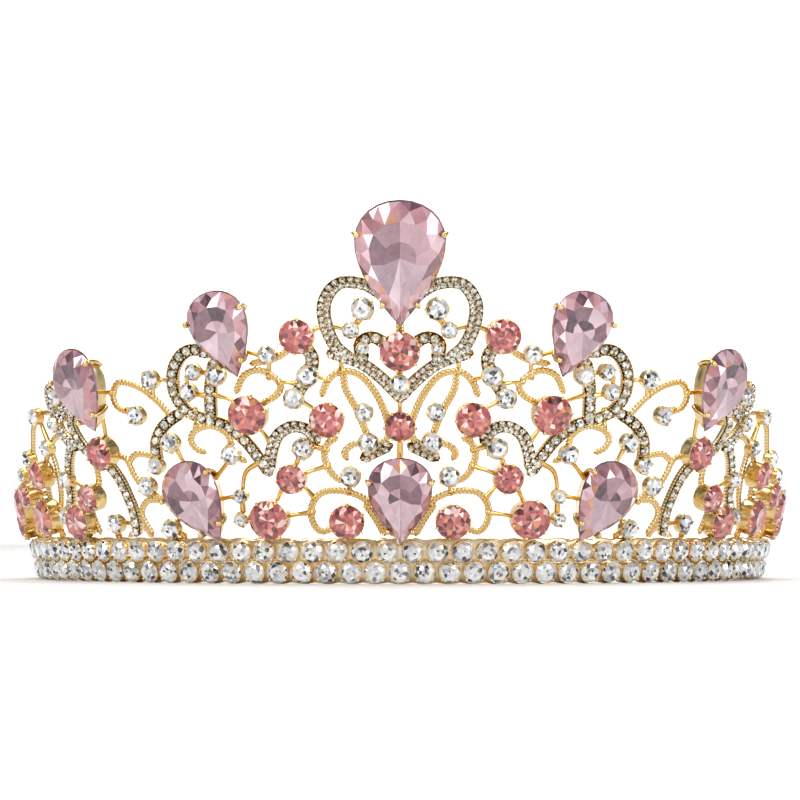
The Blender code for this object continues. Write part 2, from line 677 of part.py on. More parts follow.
def build_openwork(collection, surface):
    """The scrollwork is one solid over the flat wall, bent to the leaning wall at the end.
    The clear stones' crowns rise from the tops of their cups."""
    points, faces = terraced(flat_plates())
    mesh = bpy.data.meshes.new("openwork")
    mesh.from_pydata(points, [], faces)
    shape = bmesh.new()
    shape.from_mesh(mesh)
    bmesh.ops.dissolve_limit(shape, angle_limit=math.radians(1.5), verts=shape.verts,
                             edges=shape.edges)
    cups = [face for face in shape.faces
            if min(vertex.co.z for vertex in face.verts) > OPENWORK_CUP_TOP - MERGE_DISTANCE
            and max(vertex.co.z for vertex in face.verts) < OPENWORK_CUP_TOP + MERGE_DISTANCE]
    crowns = bmesh.ops.extrude_discrete_faces(shape, faces=cups)["faces"]
    for face in crowns:
        middle = face.calc_center_bounds()
        for vertex in face.verts:
            vertex.co = middle + (vertex.co - middle) * CROWN_SHARE
            vertex.co.z += CROWN_RISE
    bmesh.ops.triangulate(shape, faces=shape.faces)
    bmesh.ops.dissolve_degenerate(shape, edges=shape.edges, dist=MERGE_DISTANCE / 10.0)
    bmesh.ops.triangulate(shape, faces=shape.faces)
    for vertex in shape.verts:
        along, height, offset = vertex.co
        vertex.co = wall_point(along, height, offset)
    shape.to_mesh(mesh)
    shape.free()
    mesh.materials.append(surface)
    made = bpy.data.objects.new("openwork", mesh)
    collection.objects.link(made)
    return made


def build_pears(collection, surface):
    """Pear stones: flat back, sloping sides, girdle, crown and table."""
    low = PEAR_SEAT_TOP + PIECE_GAP
    levels = ((0.50, low), (1.0, low + PEAR_STONE_DEPTH * 0.38),
              (0.86, low + PEAR_STONE_DEPTH * 0.74), (0.56, low + PEAR_STONE_DEPTH))
    for row, side in half_places([row[1:] + row[:1] for row in PEARS]):
        along, up, width, length, lean, name = row
        word = "" if along == 0.0 else "_right" if side > 0.0 else "_left"
        outline = pear_outline(width * PEAR_STONE_WIDTH, length * PEAR_STONE_LENGTH)
        points, faces = wall_stack(side * along * BAND_HALF_LENGTH, wall_height(up),
                                   outline, side * lean, levels)
        add_object("pear_stone_%s%s" % (name, word), points, faces, collection, surface)


def build_rounds(collection, surface):
    """Round coral stones: flat back, sloping sides, girdle, crown and table."""
    low = ROUND_SEAT_TOP + PIECE_GAP
    levels = ((0.50, low), (1.0, low + ROUND_STONE_DEPTH * 0.48),
              (0.58, low + ROUND_STONE_DEPTH))
    for (along, up, width, name), side in half_places(
            [row[1:] + row[:1] for row in ROUNDS]):
        word = "" if along == 0.0 else "_right" if side > 0.0 else "_left"
        points, faces = wall_stack(side * along * BAND_HALF_LENGTH, wall_height(up),
                                   round_outline(width * ROUND_STONE_WIDTH), 0.0, levels)
        add_object("pink_stone_%s%s" % (name, word), points, faces, collection, surface)


def main():
    for old in list(bpy.data.objects):
        bpy.data.objects.remove(old, do_unlink=True)
    scene = bpy.context.scene
    part = bpy.data.collections.new("tiara")
    scene.collection.children.link(part)
    band_cutters = bpy.data.collections.new("band_cutters")
    scene.collection.children.link(band_cutters)

    build_band(part, band_cutters, material("band_gold", GOLD, 0.28, 1.0))
    build_openwork(part, material("openwork_gold", GOLD, 0.26, 1.0))
    build_pears(part, material("pear_crystal", LILAC, 0.05, 0.0))
    build_rounds(part, material("coral_crystal", CORAL, 0.06, 0.0))
    band_cutters.hide_render = True


main()
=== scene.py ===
import math

import bpy
import numpy as np
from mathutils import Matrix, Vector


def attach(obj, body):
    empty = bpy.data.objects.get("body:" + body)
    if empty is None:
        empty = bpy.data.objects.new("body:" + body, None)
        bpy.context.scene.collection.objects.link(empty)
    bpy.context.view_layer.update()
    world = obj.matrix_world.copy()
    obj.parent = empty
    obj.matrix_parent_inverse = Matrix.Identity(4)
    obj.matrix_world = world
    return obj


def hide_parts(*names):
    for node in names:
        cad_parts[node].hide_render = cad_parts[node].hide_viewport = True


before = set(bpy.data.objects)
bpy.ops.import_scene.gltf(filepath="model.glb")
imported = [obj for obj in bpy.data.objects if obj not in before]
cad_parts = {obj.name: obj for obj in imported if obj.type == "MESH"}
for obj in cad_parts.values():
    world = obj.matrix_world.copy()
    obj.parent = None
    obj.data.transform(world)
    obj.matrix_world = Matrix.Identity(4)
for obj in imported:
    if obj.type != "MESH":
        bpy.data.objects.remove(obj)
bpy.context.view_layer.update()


# The band is a thin strip of plated brass, bent to the head and leaning out a little. Its
# two edges are gently scalloped, because they follow the cups that are soldered on it.

HALF_WIDTH = 0.0770
HALF_DEPTH = 0.0680
BAND_HALF_LENGTH = 0.1310
FLARE = math.radians(14.0)
BAND_HEIGHT = 0.0096
BAND_THICKNESS = 0.0012
STONE_PITCH = 0.00485
SCALLOP_DEPTH = 0.00028
STATIONS_PER_STONE = 12
CURVE_STEPS = 4000
PALE_GOLD = (0.97, 0.90, 0.77)
DEEP_GOLD = (0.93, 0.80, 0.62)
# colour of the painted shade in the hollows between beads
HOLLOW_SHADE_BROWN = (0.62, 0.48, 0.28)
SCREEN_GAMMA = 2.2

ellipse_angle = np.linspace(0.0, math.pi * 0.95, CURVE_STEPS)
ellipse_length = np.concatenate([[0.0], np.cumsum(np.hypot(
    HALF_WIDTH * np.diff(np.sin(ellipse_angle)),
    HALF_DEPTH * np.diff(np.cos(ellipse_angle))))])


def unit(vectors):
    """Vectors divided by their own lengths."""
    return vectors / np.linalg.norm(vectors, axis=-1, keepdims=True)


def wall_axes(along):
    """Point of the head curve and the wall's directions sideways, up and out, for signed
    arc lengths: the ellipse's tangent, and its normal tipped outward by the flare."""
    turn = np.interp(np.abs(along), ellipse_length, ellipse_angle) * np.sign(along)
    nought = np.zeros_like(turn)
    spot = np.stack([HALF_WIDTH * np.sin(turn), HALF_DEPTH * (1 - np.cos(turn)), nought], -1)
    side = unit(np.stack([HALF_WIDTH * np.cos(turn), HALF_DEPTH * np.sin(turn), nought], -1))
    normal = np.stack([side[..., 1], -side[..., 0], nought], -1)
    rise = np.array([0.0, 0.0, 1.0])
    up = normal * math.sin(FLARE) + rise * math.cos(FLARE)
    out = normal * math.cos(FLARE) - rise * math.sin(FLARE)
    return spot, side, up, out


def on_wall(along, height, offset):
    """Head-curve point, plus height times the wall's up and offset times its out. The
    offset starts at the band's back face."""
    spot, side, up, out = wall_axes(along)
    return spot + up * height[..., None] + out * (offset - BAND_THICKNESS / 2)[..., None]


def grid_faces(rows, columns, around):
    """Four-cornered faces of a grid of points; around joins the last column to the
    first."""
    row, column = np.meshgrid(np.arange(rows - 1), np.arange(columns - 1 + around),
                              indexing="ij")
    after = (column + 1) % columns
    low = row * columns
    return np.stack([low + column, low + after, low + columns + after,
                     low + columns + column], -1).reshape(-1, 4)


def fan_faces(first, count, middle, flip):
    """Triangles from a middle point to each side of a ring of count points."""
    ring = np.arange(count)
    sides = [first + ring, first + (ring + 1) % count]
    if flip:
        sides.reverse()
    return np.stack([np.full(count, middle)] + sides, -1)


def tube_mesh(rings):
    """Closed skin over rings of points, each end drawn to the middle of its ring."""
    count, sides = rings.shape[:2]
    points = np.concatenate([rings.reshape(-1, 3), rings[:1].mean(1), rings[-1:].mean(1)])
    total = count * sides
    return points, [grid_faces(count, sides, True), fan_faces(0, sides, total, True),
                    fan_faces(total - sides, sides, total + 1, False)]


def band_rings():
    """Ten-cornered sections along the band, two half sines rounding their lower and upper
    edges. Between two cups each edge dips by one less the sine or cosine of the run. The
    foot is cut level, so along the wall its front corner is the higher by the flare."""
    station = np.linspace(-BAND_HALF_LENGTH, BAND_HALF_LENGTH,
                          round(2 * BAND_HALF_LENGTH / STONE_PITCH) * STATIONS_PER_STONE + 1)
    beat = math.pi * station[:, None] / STONE_PITCH
    half = BAND_THICKNESS / 2
    turn = np.linspace(0, math.pi, 5)
    rounding = half / 2 * (1 - np.sin(turn))
    foot = rounding + half * np.cos(turn) * math.tan(FLARE)
    heights = np.concatenate([
        foot + SCALLOP_DEPTH * (1 - np.abs(np.cos(beat))),
        BAND_HEIGHT - rounding - SCALLOP_DEPTH * (1 - np.abs(np.sin(beat)))], 1)
    offsets = half * (1 + np.concatenate([np.cos(turn), -np.cos(turn)]))
    return on_wall(station[:, None], heights, offsets)


def piece(name, mesh_parts, finish, smooth=True, paint=None, hollow=None, stands_for=()):
    """Object from points and face lists; paint is one colour for each corner of the
    faces, and hollow one number for each point, its share of painted shade, 1 where it lies deep."""
    points, faces = mesh_parts
    sizes = np.concatenate([np.full(len(part), part.shape[1]) for part in faces])
    corners = np.concatenate([part.ravel() for part in faces])
    mesh = bpy.data.meshes.new(name)
    mesh.vertices.add(len(points))
    mesh.vertices.foreach_set("co", np.asarray(points, np.float32).ravel())
    mesh.loops.add(len(corners))
    mesh.loops.foreach_set("vertex_index", corners.astype(np.int32))
    mesh.polygons.add(len(sizes))
    mesh.polygons.foreach_set("loop_start", (np.cumsum(sizes) - sizes).astype(np.int32))
    mesh.polygons.foreach_set("use_smooth", np.full(len(sizes), smooth))
    if paint is not None:
        shade = mesh.color_attributes.new("paint", "FLOAT_COLOR", "CORNER")
        colours = np.concatenate([paint, np.ones((len(paint), 1))], 1)
        shade.data.foreach_set("color", colours.astype(np.float32).ravel())
    if hollow is not None:
        mesh.attributes.new("hollow", "FLOAT", "POINT").data.foreach_set(
            "value", np.asarray(hollow, np.float32))
    mesh.update(calc_edges=True)
    mesh.materials.append(finish)
    made = bpy.data.objects.new(name, mesh)
    bpy.context.scene.collection.objects.link(made)
    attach(made, "root")
    if stands_for:
        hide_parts(*stands_for)


class Wire:
    """One output of a material's nodes. Sums, differences and products of wires and
    numbers add Math nodes, and node adds a node of any other kind."""

    def __init__(self, tree, socket=None):
        self.tree = tree
        self.socket = socket

    def feed(self, made, **inputs):
        """Gives a node's sockets their wires or values, each named with _ for a space, or
        by its number after an i."""
        for key, value in inputs.items():
            key = int(key[1:]) if key[0] == "i" and key[1:].isdigit() else key.replace("_", " ")
            if isinstance(value, Wire):
                self.tree.links.new(value.socket, made.inputs[key])
            else:
                made.inputs[key].default_value = value

    def node(self, kind, settings=None, output=0, **inputs):
        """Output of a new node. settings are its own properties, stops those of a ramp,
        and inputs its sockets as feed takes them."""
        made = self.tree.nodes.new(kind)
        for key, value in (settings or {}).items():
            if key == "stops":
                ramp = made.color_ramp.elements
                for k, (place, colour) in enumerate(value):
                    stop = ramp[k] if k < len(ramp) else ramp.new(place)
                    stop.position = place
                    stop.color = colour
            else:
                setattr(made, key, value)
        self.feed(made, **inputs)
        return Wire(self.tree, made.outputs[output])

    def maths(self, operation, first, second):
        """Math node of two wires or numbers."""
        return self.node("ShaderNodeMath", {"operation": operation}, i0=first, i1=second)

    def __add__(self, other):
        return self.maths("ADD", self, other)

    def __sub__(self, other):
        return self.maths("SUBTRACT", self, other)

    def __mul__(self, other):
        return self.maths("MULTIPLY", self, other)

    def __rsub__(self, other):
        return self.maths("SUBTRACT", other, self)

    __radd__ = __add__
    __rmul__ = __mul__

    def blend(self, first, second):
        """Colour between two, with this wire as the share of the second."""
        return self.node("ShaderNodeMix", {"data_type": "RGBA"}, output=2, i0=self,
                         i6=first, i7=second)


def tint(colour):
    """Screen colour as the four linear values of a socket."""
    return tuple(value ** SCREEN_GAMMA for value in colour) + (1.0,)


def new_finish(name):
    """Material, its surface shader, a wire to start nodes from and the place on the
    object."""
    made = bpy.data.materials.new(name)
    made.use_nodes = True
    start = Wire(made.node_tree)
    place = start.node("ShaderNodeTexCoord", output="Object")
    return made, made.node_tree.nodes["Principled BSDF"], start, place


def plated(name, pale, deep, roughness, hollow=HOLLOW_SHADE_BROWN, relief_strength=0.12):
    """Polished plating: the colour drifts between two golds over a few millimetres and is
    deeper in fine pits; painted shade darkens it to the hollow colour in the hollows between
    beads, where the hollow attribute is 1, and the gloss is broken by rubbing marks."""
    made, shader, start, place = new_finish(name)
    drift = start.node("ShaderNodeTexNoise", Vector=place, Scale=170.0, Detail=4.0)
    pits = start.node("ShaderNodeTexNoise", Vector=place, Scale=1500.0, Detail=3.0)
    rubbed = start.node("ShaderNodeTexNoise", Vector=place, Scale=620.0, Detail=5.0,
                        Roughness=0.7)
    share = start.node("ShaderNodeMapRange", Value=drift * 0.6 + pits * 0.4,
                       From_Min=0.36, From_Max=0.64)
    # painted shade: the hollow share, 1 deep between beads, blends the colour to the hollow colour
    hollow_shade_share = start.node("ShaderNodeAttribute", {"attribute_name": "hollow"}, output="Fac")
    relief = start.node("ShaderNodeBump", Strength=relief_strength, Distance=0.00003,
                        Height=pits * 0.7 + rubbed * 0.3)
    start.feed(shader, Normal=relief, Metallic=1.0,
               Base_Color=hollow_shade_share.blend(share.blend(tint(pale), tint(deep)), tint(hollow)),
               Roughness=roughness + 0.03 + (rubbed - 0.5) * 0.22)
    return made


band_finish = plated("band_gold_plate", PALE_GOLD, DEEP_GOLD, 0.20, relief_strength=0.04)
piece("band_plate", tube_mesh(band_rings()), band_finish, stands_for=["band"])


# Each stone of the band sits in a round cup stamped from sheet, with a closed back and
# four claws pushed over the stone's edge. The cups of the two rows are soldered in a
# brick pattern.

BAND_STONE_WIDTH = 0.0044
CUP_WALL = 0.00010
BAND_CUP_BACK = 0.0006
BAND_CUP_TOP = 0.0024
LOWER_ROW_HEIGHT = 0.0028
ROW_SPACING = 0.0042
CLAW_WIDTH = 0.00064
CLAW_LENGTH = 0.0007
CUP_GOLD = (0.96, 0.88, 0.67)
CUP_AMBER = (0.84, 0.68, 0.40)
BAND_CUP_GOLD = (0.97, 0.91, 0.77)
BAND_CUP_AMBER = (0.90, 0.76, 0.54)

half_row = int((BAND_HALF_LENGTH - BAND_STONE_WIDTH / 2) / STONE_PITCH)
lower_row = np.arange(-half_row, half_row + 1) * STONE_PITCH
upper_row = (np.arange(-half_row, half_row) + 0.5) * STONE_PITCH
band_along = np.concatenate([lower_row, upper_row])
band_heights = LOWER_ROW_HEIGHT + ROW_SPACING * np.repeat([0, 1], [len(lower_row),
                                                                   len(upper_row)])


def merged(meshes):
    """One mesh of many: the points in a row, and each face list shifted to its points."""
    points = []
    faces = []
    start = 0
    for mesh_points, mesh_faces in meshes:
        points.append(mesh_points)
        faces += [part + start for part in mesh_faces]
        start += len(mesh_points)
    return np.concatenate(points), faces


def copies_on_wall(form, along, height, lean=0.0, width=1.0):
    """Mesh of a form's copies at places on the wall. A point (right, up, out) is sized by
    the place's width, turned by its lean about the out axis and laid on the place's axes,
    and the form's faces repeat for each copy."""
    points, faces = form
    along, height, lean, width = np.broadcast_arrays(
        *[np.atleast_1d(np.asarray(value, float)) for value in (along, height, lean, width)])
    spot, side, up, out = wall_axes(along)
    centre = spot + up * height[:, None] - out * BAND_THICKNESS / 2
    turn = np.radians(lean)[:, None]
    right = points[None, :, 0] * width[:, None]
    rise = points[None, :, 1] * width[:, None]
    across = right * np.cos(turn) + rise * np.sin(turn)
    upward = rise * np.cos(turn) - right * np.sin(turn)
    placed = (centre[:, None] + side[:, None] * across[..., None]
              + up[:, None] * upward[..., None] + out[:, None] * points[None, :, 2, None])
    shift = (np.arange(len(along)) * len(points))[:, None, None]
    return placed.reshape(-1, 3), [(part + shift).reshape(-1, part.shape[1])
                                   for part in faces]


def circle(count):
    """Angles of count even steps round a whole turn."""
    return 2 * math.pi * np.arange(count) / count


def turned_form(profile, sides):
    """Profile of (radius, out) pairs turned about the out axis, closed at both ends."""
    turn = circle(sides)
    radius, out = np.array(profile).T[:, :, None]
    return tube_mesh(np.stack([radius * np.sin(turn), -radius * np.cos(turn),
                               out + 0 * turn], -1))


def cup_form(radius, back, top, sides):
    """Stamped cup, a profile of shares of its radius turned round: rounded back, straight
    wall with a thin rolled lip, hollow within."""
    depth = top - back
    return turned_form([(radius * 0.80, back), (radius * 0.96, back + depth * 0.12),
                        (radius * 0.99, back + depth * 0.35), (radius * 0.98, top - 0.0003),
                        (radius * 1.015, top - 0.00010), (radius * 1.015, top + 0.00002),
                        (radius * 0.97, top + 0.00004), (radius * 0.80, top - 0.0006)], sides)


def claw_form(reach, top, width, length, spread):
    """Claw at the right-hand side of a stone, six-sided, on a quarter turn from 1.05 to
    0.90 of the reach across and from 0.75 of its length under the top to 0.50 over it. It
    swells to a drop near its tip. In the wall's plane its width is divided by spread, the
    width that the form is sized by where it is set."""
    bend = np.linspace(0, math.pi / 2, 5)[:, None]
    centre = np.concatenate([reach * (0.90 + 0.15 * np.cos(bend)), 0 * bend,
                             top + length * (1.25 * np.sin(bend) - 0.75)], 1)
    girth = width / 2 * np.array([0.50, 0.80, 0.90, 1.10, 0.65])[:, None, None]
    turn = circle(6)[:, None]
    run = unit(np.gradient(centre * [spread, spread, 1.0], axis=0))
    across = np.array([0.0, 1.0, 0.0])
    lift = np.cross(run, across)[:, None]
    return tube_mesh(centre[:, None] + girth * (across * np.cos(turn) + lift * np.sin(turn))
                     / [spread, spread, 1.0])


def claws_round(reach, top, width, length, count, spread=1.0):
    """Claws at even angles about the out axis, the first half a step from the right."""
    points, faces = claw_form(reach, top, width, length, spread)
    right, rise, out = points.T
    return merged([(np.stack([right * math.cos(turn) - rise * math.sin(turn),
                              right * math.sin(turn) + rise * math.cos(turn), out], 1), faces)
                   for turn in circle(count) + math.pi / count])


cup_finish = plated("stone_cup_gold", CUP_GOLD, CUP_AMBER, 0.18)
band_cup_finish = plated("band_cup_gold", BAND_CUP_GOLD, BAND_CUP_AMBER, 0.18)
band_cup = merged([
    cup_form(BAND_STONE_WIDTH / 2 + CUP_WALL, BAND_CUP_BACK, BAND_CUP_TOP, 16),
    claws_round(BAND_STONE_WIDTH / 2, BAND_CUP_TOP, CLAW_WIDTH, CLAW_LENGTH, 4)])
piece("band_cups", copies_on_wall(band_cup, band_along, band_heights), band_cup_finish)


# The clear stones are round glass brilliants with a mirrored back: a flat table, a ring
# of kite and star facets and a thin edge. Seen through the table, the mirrored facets
# behind it look like a star of white, silver and dark wedges, which are painted on the
# facets as painted reflections and painted highlights.

CROWN_RISE = 0.0009
CULET_DEPTH = 0.0010
GIRDLE_EDGE = 0.00008
CLEAR_FOLD = 8
TABLE_SHARE = 0.62
# largest painted light fade across a facet
FACET_SLOPE = 0.24
FACET_SPREAD = (0.88, 1.08)
# painted reflections of the mirrored back: white highlights, silver, greys and dark wedges, with
# faint warm and blue flashes
CLEAR_FACET_REFLECTIONS = (((1.00, 1.00, 1.00), 0.36), ((0.90, 0.92, 0.93), 0.24),
                ((0.74, 0.75, 0.76), 0.14), ((0.48, 0.48, 0.49), 0.10),
                ((0.19, 0.19, 0.21), 0.08), ((0.93, 0.89, 0.78), 0.05),
                ((0.80, 0.86, 0.94), 0.03))
BACK_SHADES = (((0.60, 0.50, 0.36), 1.0),)


def faceted(rings, rows):
    """Form of a cut stone from its rings of points and rows of (corner, corner, corner,
    facet) numbers: the points, the triangles and the facet that each triangle lies in."""
    return (np.concatenate(rings), np.concatenate([np.stack(row[:3], 1) for row in rows]),
            np.concatenate([row[3] for row in rows]))


def stone_form(outline, fold, levels):
    """Cut stone. outline gives the edge for an angle, fold the facets round the table, and
    levels the (share, out) of middle, inner star, table, break, girdle, under-girdle and
    culet. It has fold facets each for star wedges, table wedges, star, kites and the two
    upper-girdle rows, and twice as many for the girdle and the back."""
    turns = (np.array([math.pi]), circle(fold), circle(fold), circle(fold) + math.pi / fold,
             circle(2 * fold), circle(2 * fold), np.array([math.pi]))
    rings = [np.concatenate([outline(turn) * share, np.full((len(turn), 1), out)], 1)
             for (share, out), turn in zip(levels, turns)]
    middle, star, table, rest, girdle, under, culet = np.cumsum(
        [0] + [len(ring) for ring in rings[:-1]])
    k = np.arange(fold)
    j = np.arange(2 * fold)
    after, before, later = (k + 1) % fold, (k - 1) % fold, (j + 1) % (2 * fold)
    return faceted(rings, [
        (middle + 0 * k, star + k, star + after, k),
        (star + k, table + k, table + after, fold + k),
        (star + k, table + after, star + after, fold + k),
        (table + k, rest + k, table + after, 2 * fold + k),
        (table + k, rest + before, girdle + 2 * k, 3 * fold + k),
        (table + k, girdle + 2 * k, rest + k, 3 * fold + k),
        (rest + k, girdle + 2 * k, girdle + 2 * k + 1, 4 * fold + k),
        (rest + k, girdle + 2 * k + 1, girdle + 2 * after, 5 * fold + k),
        (under + j, under + later, girdle + later, 6 * fold + j),
        (under + j, girdle + later, girdle + j, 6 * fold + j),
        (culet + 0 * j, under + later, under + j, 8 * fold + j)])


def facet_paint(count, form, zone, palettes, seed, leader=None):
    """Painted reflections for the corners of count stones. A facet draws one of its zone's
    shades by their weights, is a little lighter or darker than it, and fades evenly from one
    side to the other in painted light, as the light behind it does. leader names the facet
    whose colour each one takes, so that several make one plane."""
    points, faces, facets = form
    draw = np.random.default_rng(seed)
    total = facets.max() + 1
    picked = np.zeros((count, total, 3))
    for number, shades in enumerate(palettes):
        own = np.flatnonzero(zone == number)
        weights = np.array([weight for shade, weight in shades])
        chosen = draw.choice(len(shades), (count, len(own)), p=weights / weights.sum())
        picked[:, own] = (np.array([shade for shade, weight in shades])
                          ** SCREEN_GAMMA)[chosen]
    if leader is not None:
        picked = picked[:, leader]
    picked = picked * draw.uniform(*FACET_SPREAD, (count, total, 1))
    spots = points[faces][:, :, :2]
    middles = np.stack([np.bincount(facets, spots[:, :, axis].mean(1)) for axis in (0, 1)], 1)
    middles = middles / np.bincount(facets)[:, None]
    reach = (spots - middles[facets][:, None]) / np.abs(points[:, :2]).max() * 4
    # painted light: each facet's colour fades from one side to the other
    slope = draw.uniform(-FACET_SLOPE, FACET_SLOPE, (count, total, 2))
    lift = 1 + np.einsum("cfa,fva->cfv", slope[:, facets], reach)
    return np.clip((picked[:, facets][:, :, None] * lift[..., None]).reshape(-1, 3), 0, 1)


def round_edge(width):
    """Circle of that width, from its lowest point anticlockwise."""
    return lambda turn: width / 2 * np.stack([np.sin(turn), -np.cos(turn)], 1)


def brilliant_levels(girdle, rise, star=0.34):
    """Shares and heights of a brilliant; the star inside the table lies a little deeper,
    so that each of its wedges catches another part of the light."""
    top = girdle + rise
    return ((0.0, top - rise * 0.34), (star, top - rise * 0.12), (TABLE_SHARE, top),
            (0.82, girdle + rise * 0.60), (1.0, girdle), (1.0, girdle - GIRDLE_EDGE),
            (0.0, girdle - CULET_DEPTH))


def cut_glass(name, roughness, mirror):
    """Glass over a mirrored back: the facet's painted colour, which holds painted reflections
    and highlights of the mirrored back, with fine cloudy variation, part of it reflecting as
    metal does, under a clear gloss."""
    made, shader, start, place = new_finish(name)
    shade = start.node("ShaderNodeVertexColor", {"layer_name": "paint"})
    cloud = start.node("ShaderNodeTexNoise", Vector=place, Scale=900.0, Detail=3.0)
    smear = start.node("ShaderNodeTexNoise", Vector=place, Scale=260.0, Detail=4.0)
    mist = start.node("ShaderNodeMapRange", Value=cloud, From_Min=0.35, From_Max=0.75,
                      To_Min=0.0, To_Max=0.07)
    ripple = start.node("ShaderNodeBump", Strength=0.12, Distance=0.00002, Height=smear)
    start.feed(shader, Base_Color=mist.blend(shade, (1.0, 1.0, 1.0, 1.0)), Normal=ripple,
               Roughness=smear * 0.08 + roughness, Metallic=mirror, Coat_Weight=1.0,
               Coat_Roughness=0.02, Coat_IOR=1.6)
    return made


def stones(name, form, places, finish, shades, seed, stands_for=()):
    """One piece of many equal round stones, each with facets of colours drawn for it, the
    glass's tint with painted reflections and highlights of the mirrored back; the last
    fifth of a form's facets are its back."""
    points, faces, facets = form
    facet = np.arange(facets.max() + 1)
    zone = (facet >= len(facet) * 4 // 5).astype(int)
    piece(name, copies_on_wall((points, [faces]), *places), finish, smooth=False,
          paint=facet_paint(len(places[0]), form, zone, (shades, BACK_SHADES), seed),
          stands_for=stands_for)


clear_finish = cut_glass("clear_crystal", 0.05, 0.50)
band_stone = stone_form(round_edge(BAND_STONE_WIDTH), CLEAR_FOLD,
                        brilliant_levels(BAND_CUP_TOP, CROWN_RISE))
band_leans = np.random.default_rng(3).uniform(0, 360 / CLEAR_FOLD, len(band_along))
stones("band_stones", band_stone, (band_along, band_heights, band_leans), clear_finish,
       CLEAR_FACET_REFLECTIONS, 11)


# A wire is soldered inside each end of the band. It runs back and in, and ends in a
# closed loop that a hairpin or ribbon goes through. It is drawn wire, plated rose-gold.

SIDE_WIRE_WIDTH = 0.0013
SIDE_WIRE_LENGTH = 0.0270
SIDE_WIRE_TUCK = 0.0060
SIDE_WIRE_STANDOFF = 0.00039
SIDE_WIRE_BEND = math.radians(16.0)
SIDE_WIRE_STEPS = 36
LOOP_WIDTH = 0.0116
LOOP_LAP = 0.000325
LOOP_STEPS = 48
LOOP_SOLDER_RADIUS = 0.00104
LOOP_SOLDER_LIFT = 0.00026
FOOT_SOLDER_RADIUS = 0.001014
FOOT_SOLDER_SINK = 0.0001
WIRE_HEIGHT = 0.0030
ROSE_GOLD = (0.92, 0.78, 0.64)
ROSE_SHADE = (0.86, 0.70, 0.52)


def tube_along(path, girth, sides, closed=False):
    """Round bar: at each point of the path, which lies in one plane, a ring of half its
    girth, square to the run."""
    run = unit(np.roll(path, -1, 0) - np.roll(path, 1, 0) if closed
               else np.gradient(path, axis=0))
    plane = np.cross(run[0], run[len(run) // 4])
    across = unit(np.cross(run, plane))[:, None]
    lift = np.cross(across, run[:, None])
    turn = circle(sides)[:, None]
    half = np.broadcast_to(np.asarray(girth, float) / 2, (len(path),))[:, None, None]
    rings = path[:, None] + half * (across * np.cos(turn) - lift * np.sin(turn))
    if not closed:
        return tube_mesh(rings)
    faces = grid_faces(len(path) + 1, sides, True) % (len(path) * sides)
    return rings.reshape(-1, 3), [faces]


def ball(centre, radius):
    """Sphere of 10 rings and 14 sides about a point."""
    polar = np.linspace(0, math.pi, 12)[1:-1, None]
    turn = circle(14)
    return tube_mesh(centre + radius * np.stack([
        np.sin(polar) * np.cos(turn), np.sin(polar) * np.sin(turn),
        -np.cos(polar) + 0 * turn], -1))


def side_wire(side):
    """The wire's line and loop: straight inside the band, then bending in evenly over its
    free length, with the loop upright at its end and solder at both ends."""
    spot, sideways, up, out = wall_axes(np.array([BAND_HALF_LENGTH - SIDE_WIRE_TUCK,
                                                  BAND_HALF_LENGTH]) * side)
    normal = unit(out * [1, 1, 0])
    inward = BAND_THICKNESS / 2 + SIDE_WIRE_STANDOFF - WIRE_HEIGHT * math.tan(FLARE)
    ends = spot - normal * inward + [0, 0, WIRE_HEIGHT]
    right, back = sideways[1, :2] * side
    turn = side * SIDE_WIRE_BEND * (np.arange(SIDE_WIRE_STEPS) + 0.5) / SIDE_WIRE_STEPS
    runs = np.stack([right * np.cos(turn) - back * np.sin(turn),
                     right * np.sin(turn) + back * np.cos(turn), 0 * turn], 1)
    free = ends[1] + np.cumsum(runs, 0) * SIDE_WIRE_LENGTH / SIDE_WIRE_STEPS
    line = np.concatenate([np.linspace(*ends, 6), free])
    last = len(line) - 1
    girth = SIDE_WIRE_WIDTH * np.interp(np.arange(last + 1), [0, 1.5, 3, last - 2, last],
                                        [0.5, 1.0, 1.0, 1.0, 1.25])
    radius = (LOOP_WIDTH - SIDE_WIRE_WIDTH) / 2
    centre = free[-1] + runs[-1] * (radius - LOOP_LAP)
    centre[2] = radius + SIDE_WIRE_WIDTH / 2
    around = circle(LOOP_STEPS)[:, None]
    loop = centre + radius * (runs[-1] * np.cos(around) + [0, 0, 1] * np.sin(around))
    return [tube_along(line, girth, 12), tube_along(loop, SIDE_WIRE_WIDTH, 12, True),
            ball(free[-1] + [0, 0, LOOP_SOLDER_LIFT], LOOP_SOLDER_RADIUS),
            ball(ends.mean(0) - normal[0] * FOOT_SOLDER_SINK, FOOT_SOLDER_RADIUS)]


wire_finish = plated("side_wire_rose_gold", ROSE_GOLD, ROSE_SHADE, 0.30)
piece("side_wires", merged(side_wire(-1.0) + side_wire(1.0)), wire_finish)


# The openwork is cast and soldered scrollwork. Its plain scrolls are wires of oval
# section, rolled with a row of beads along each edge.

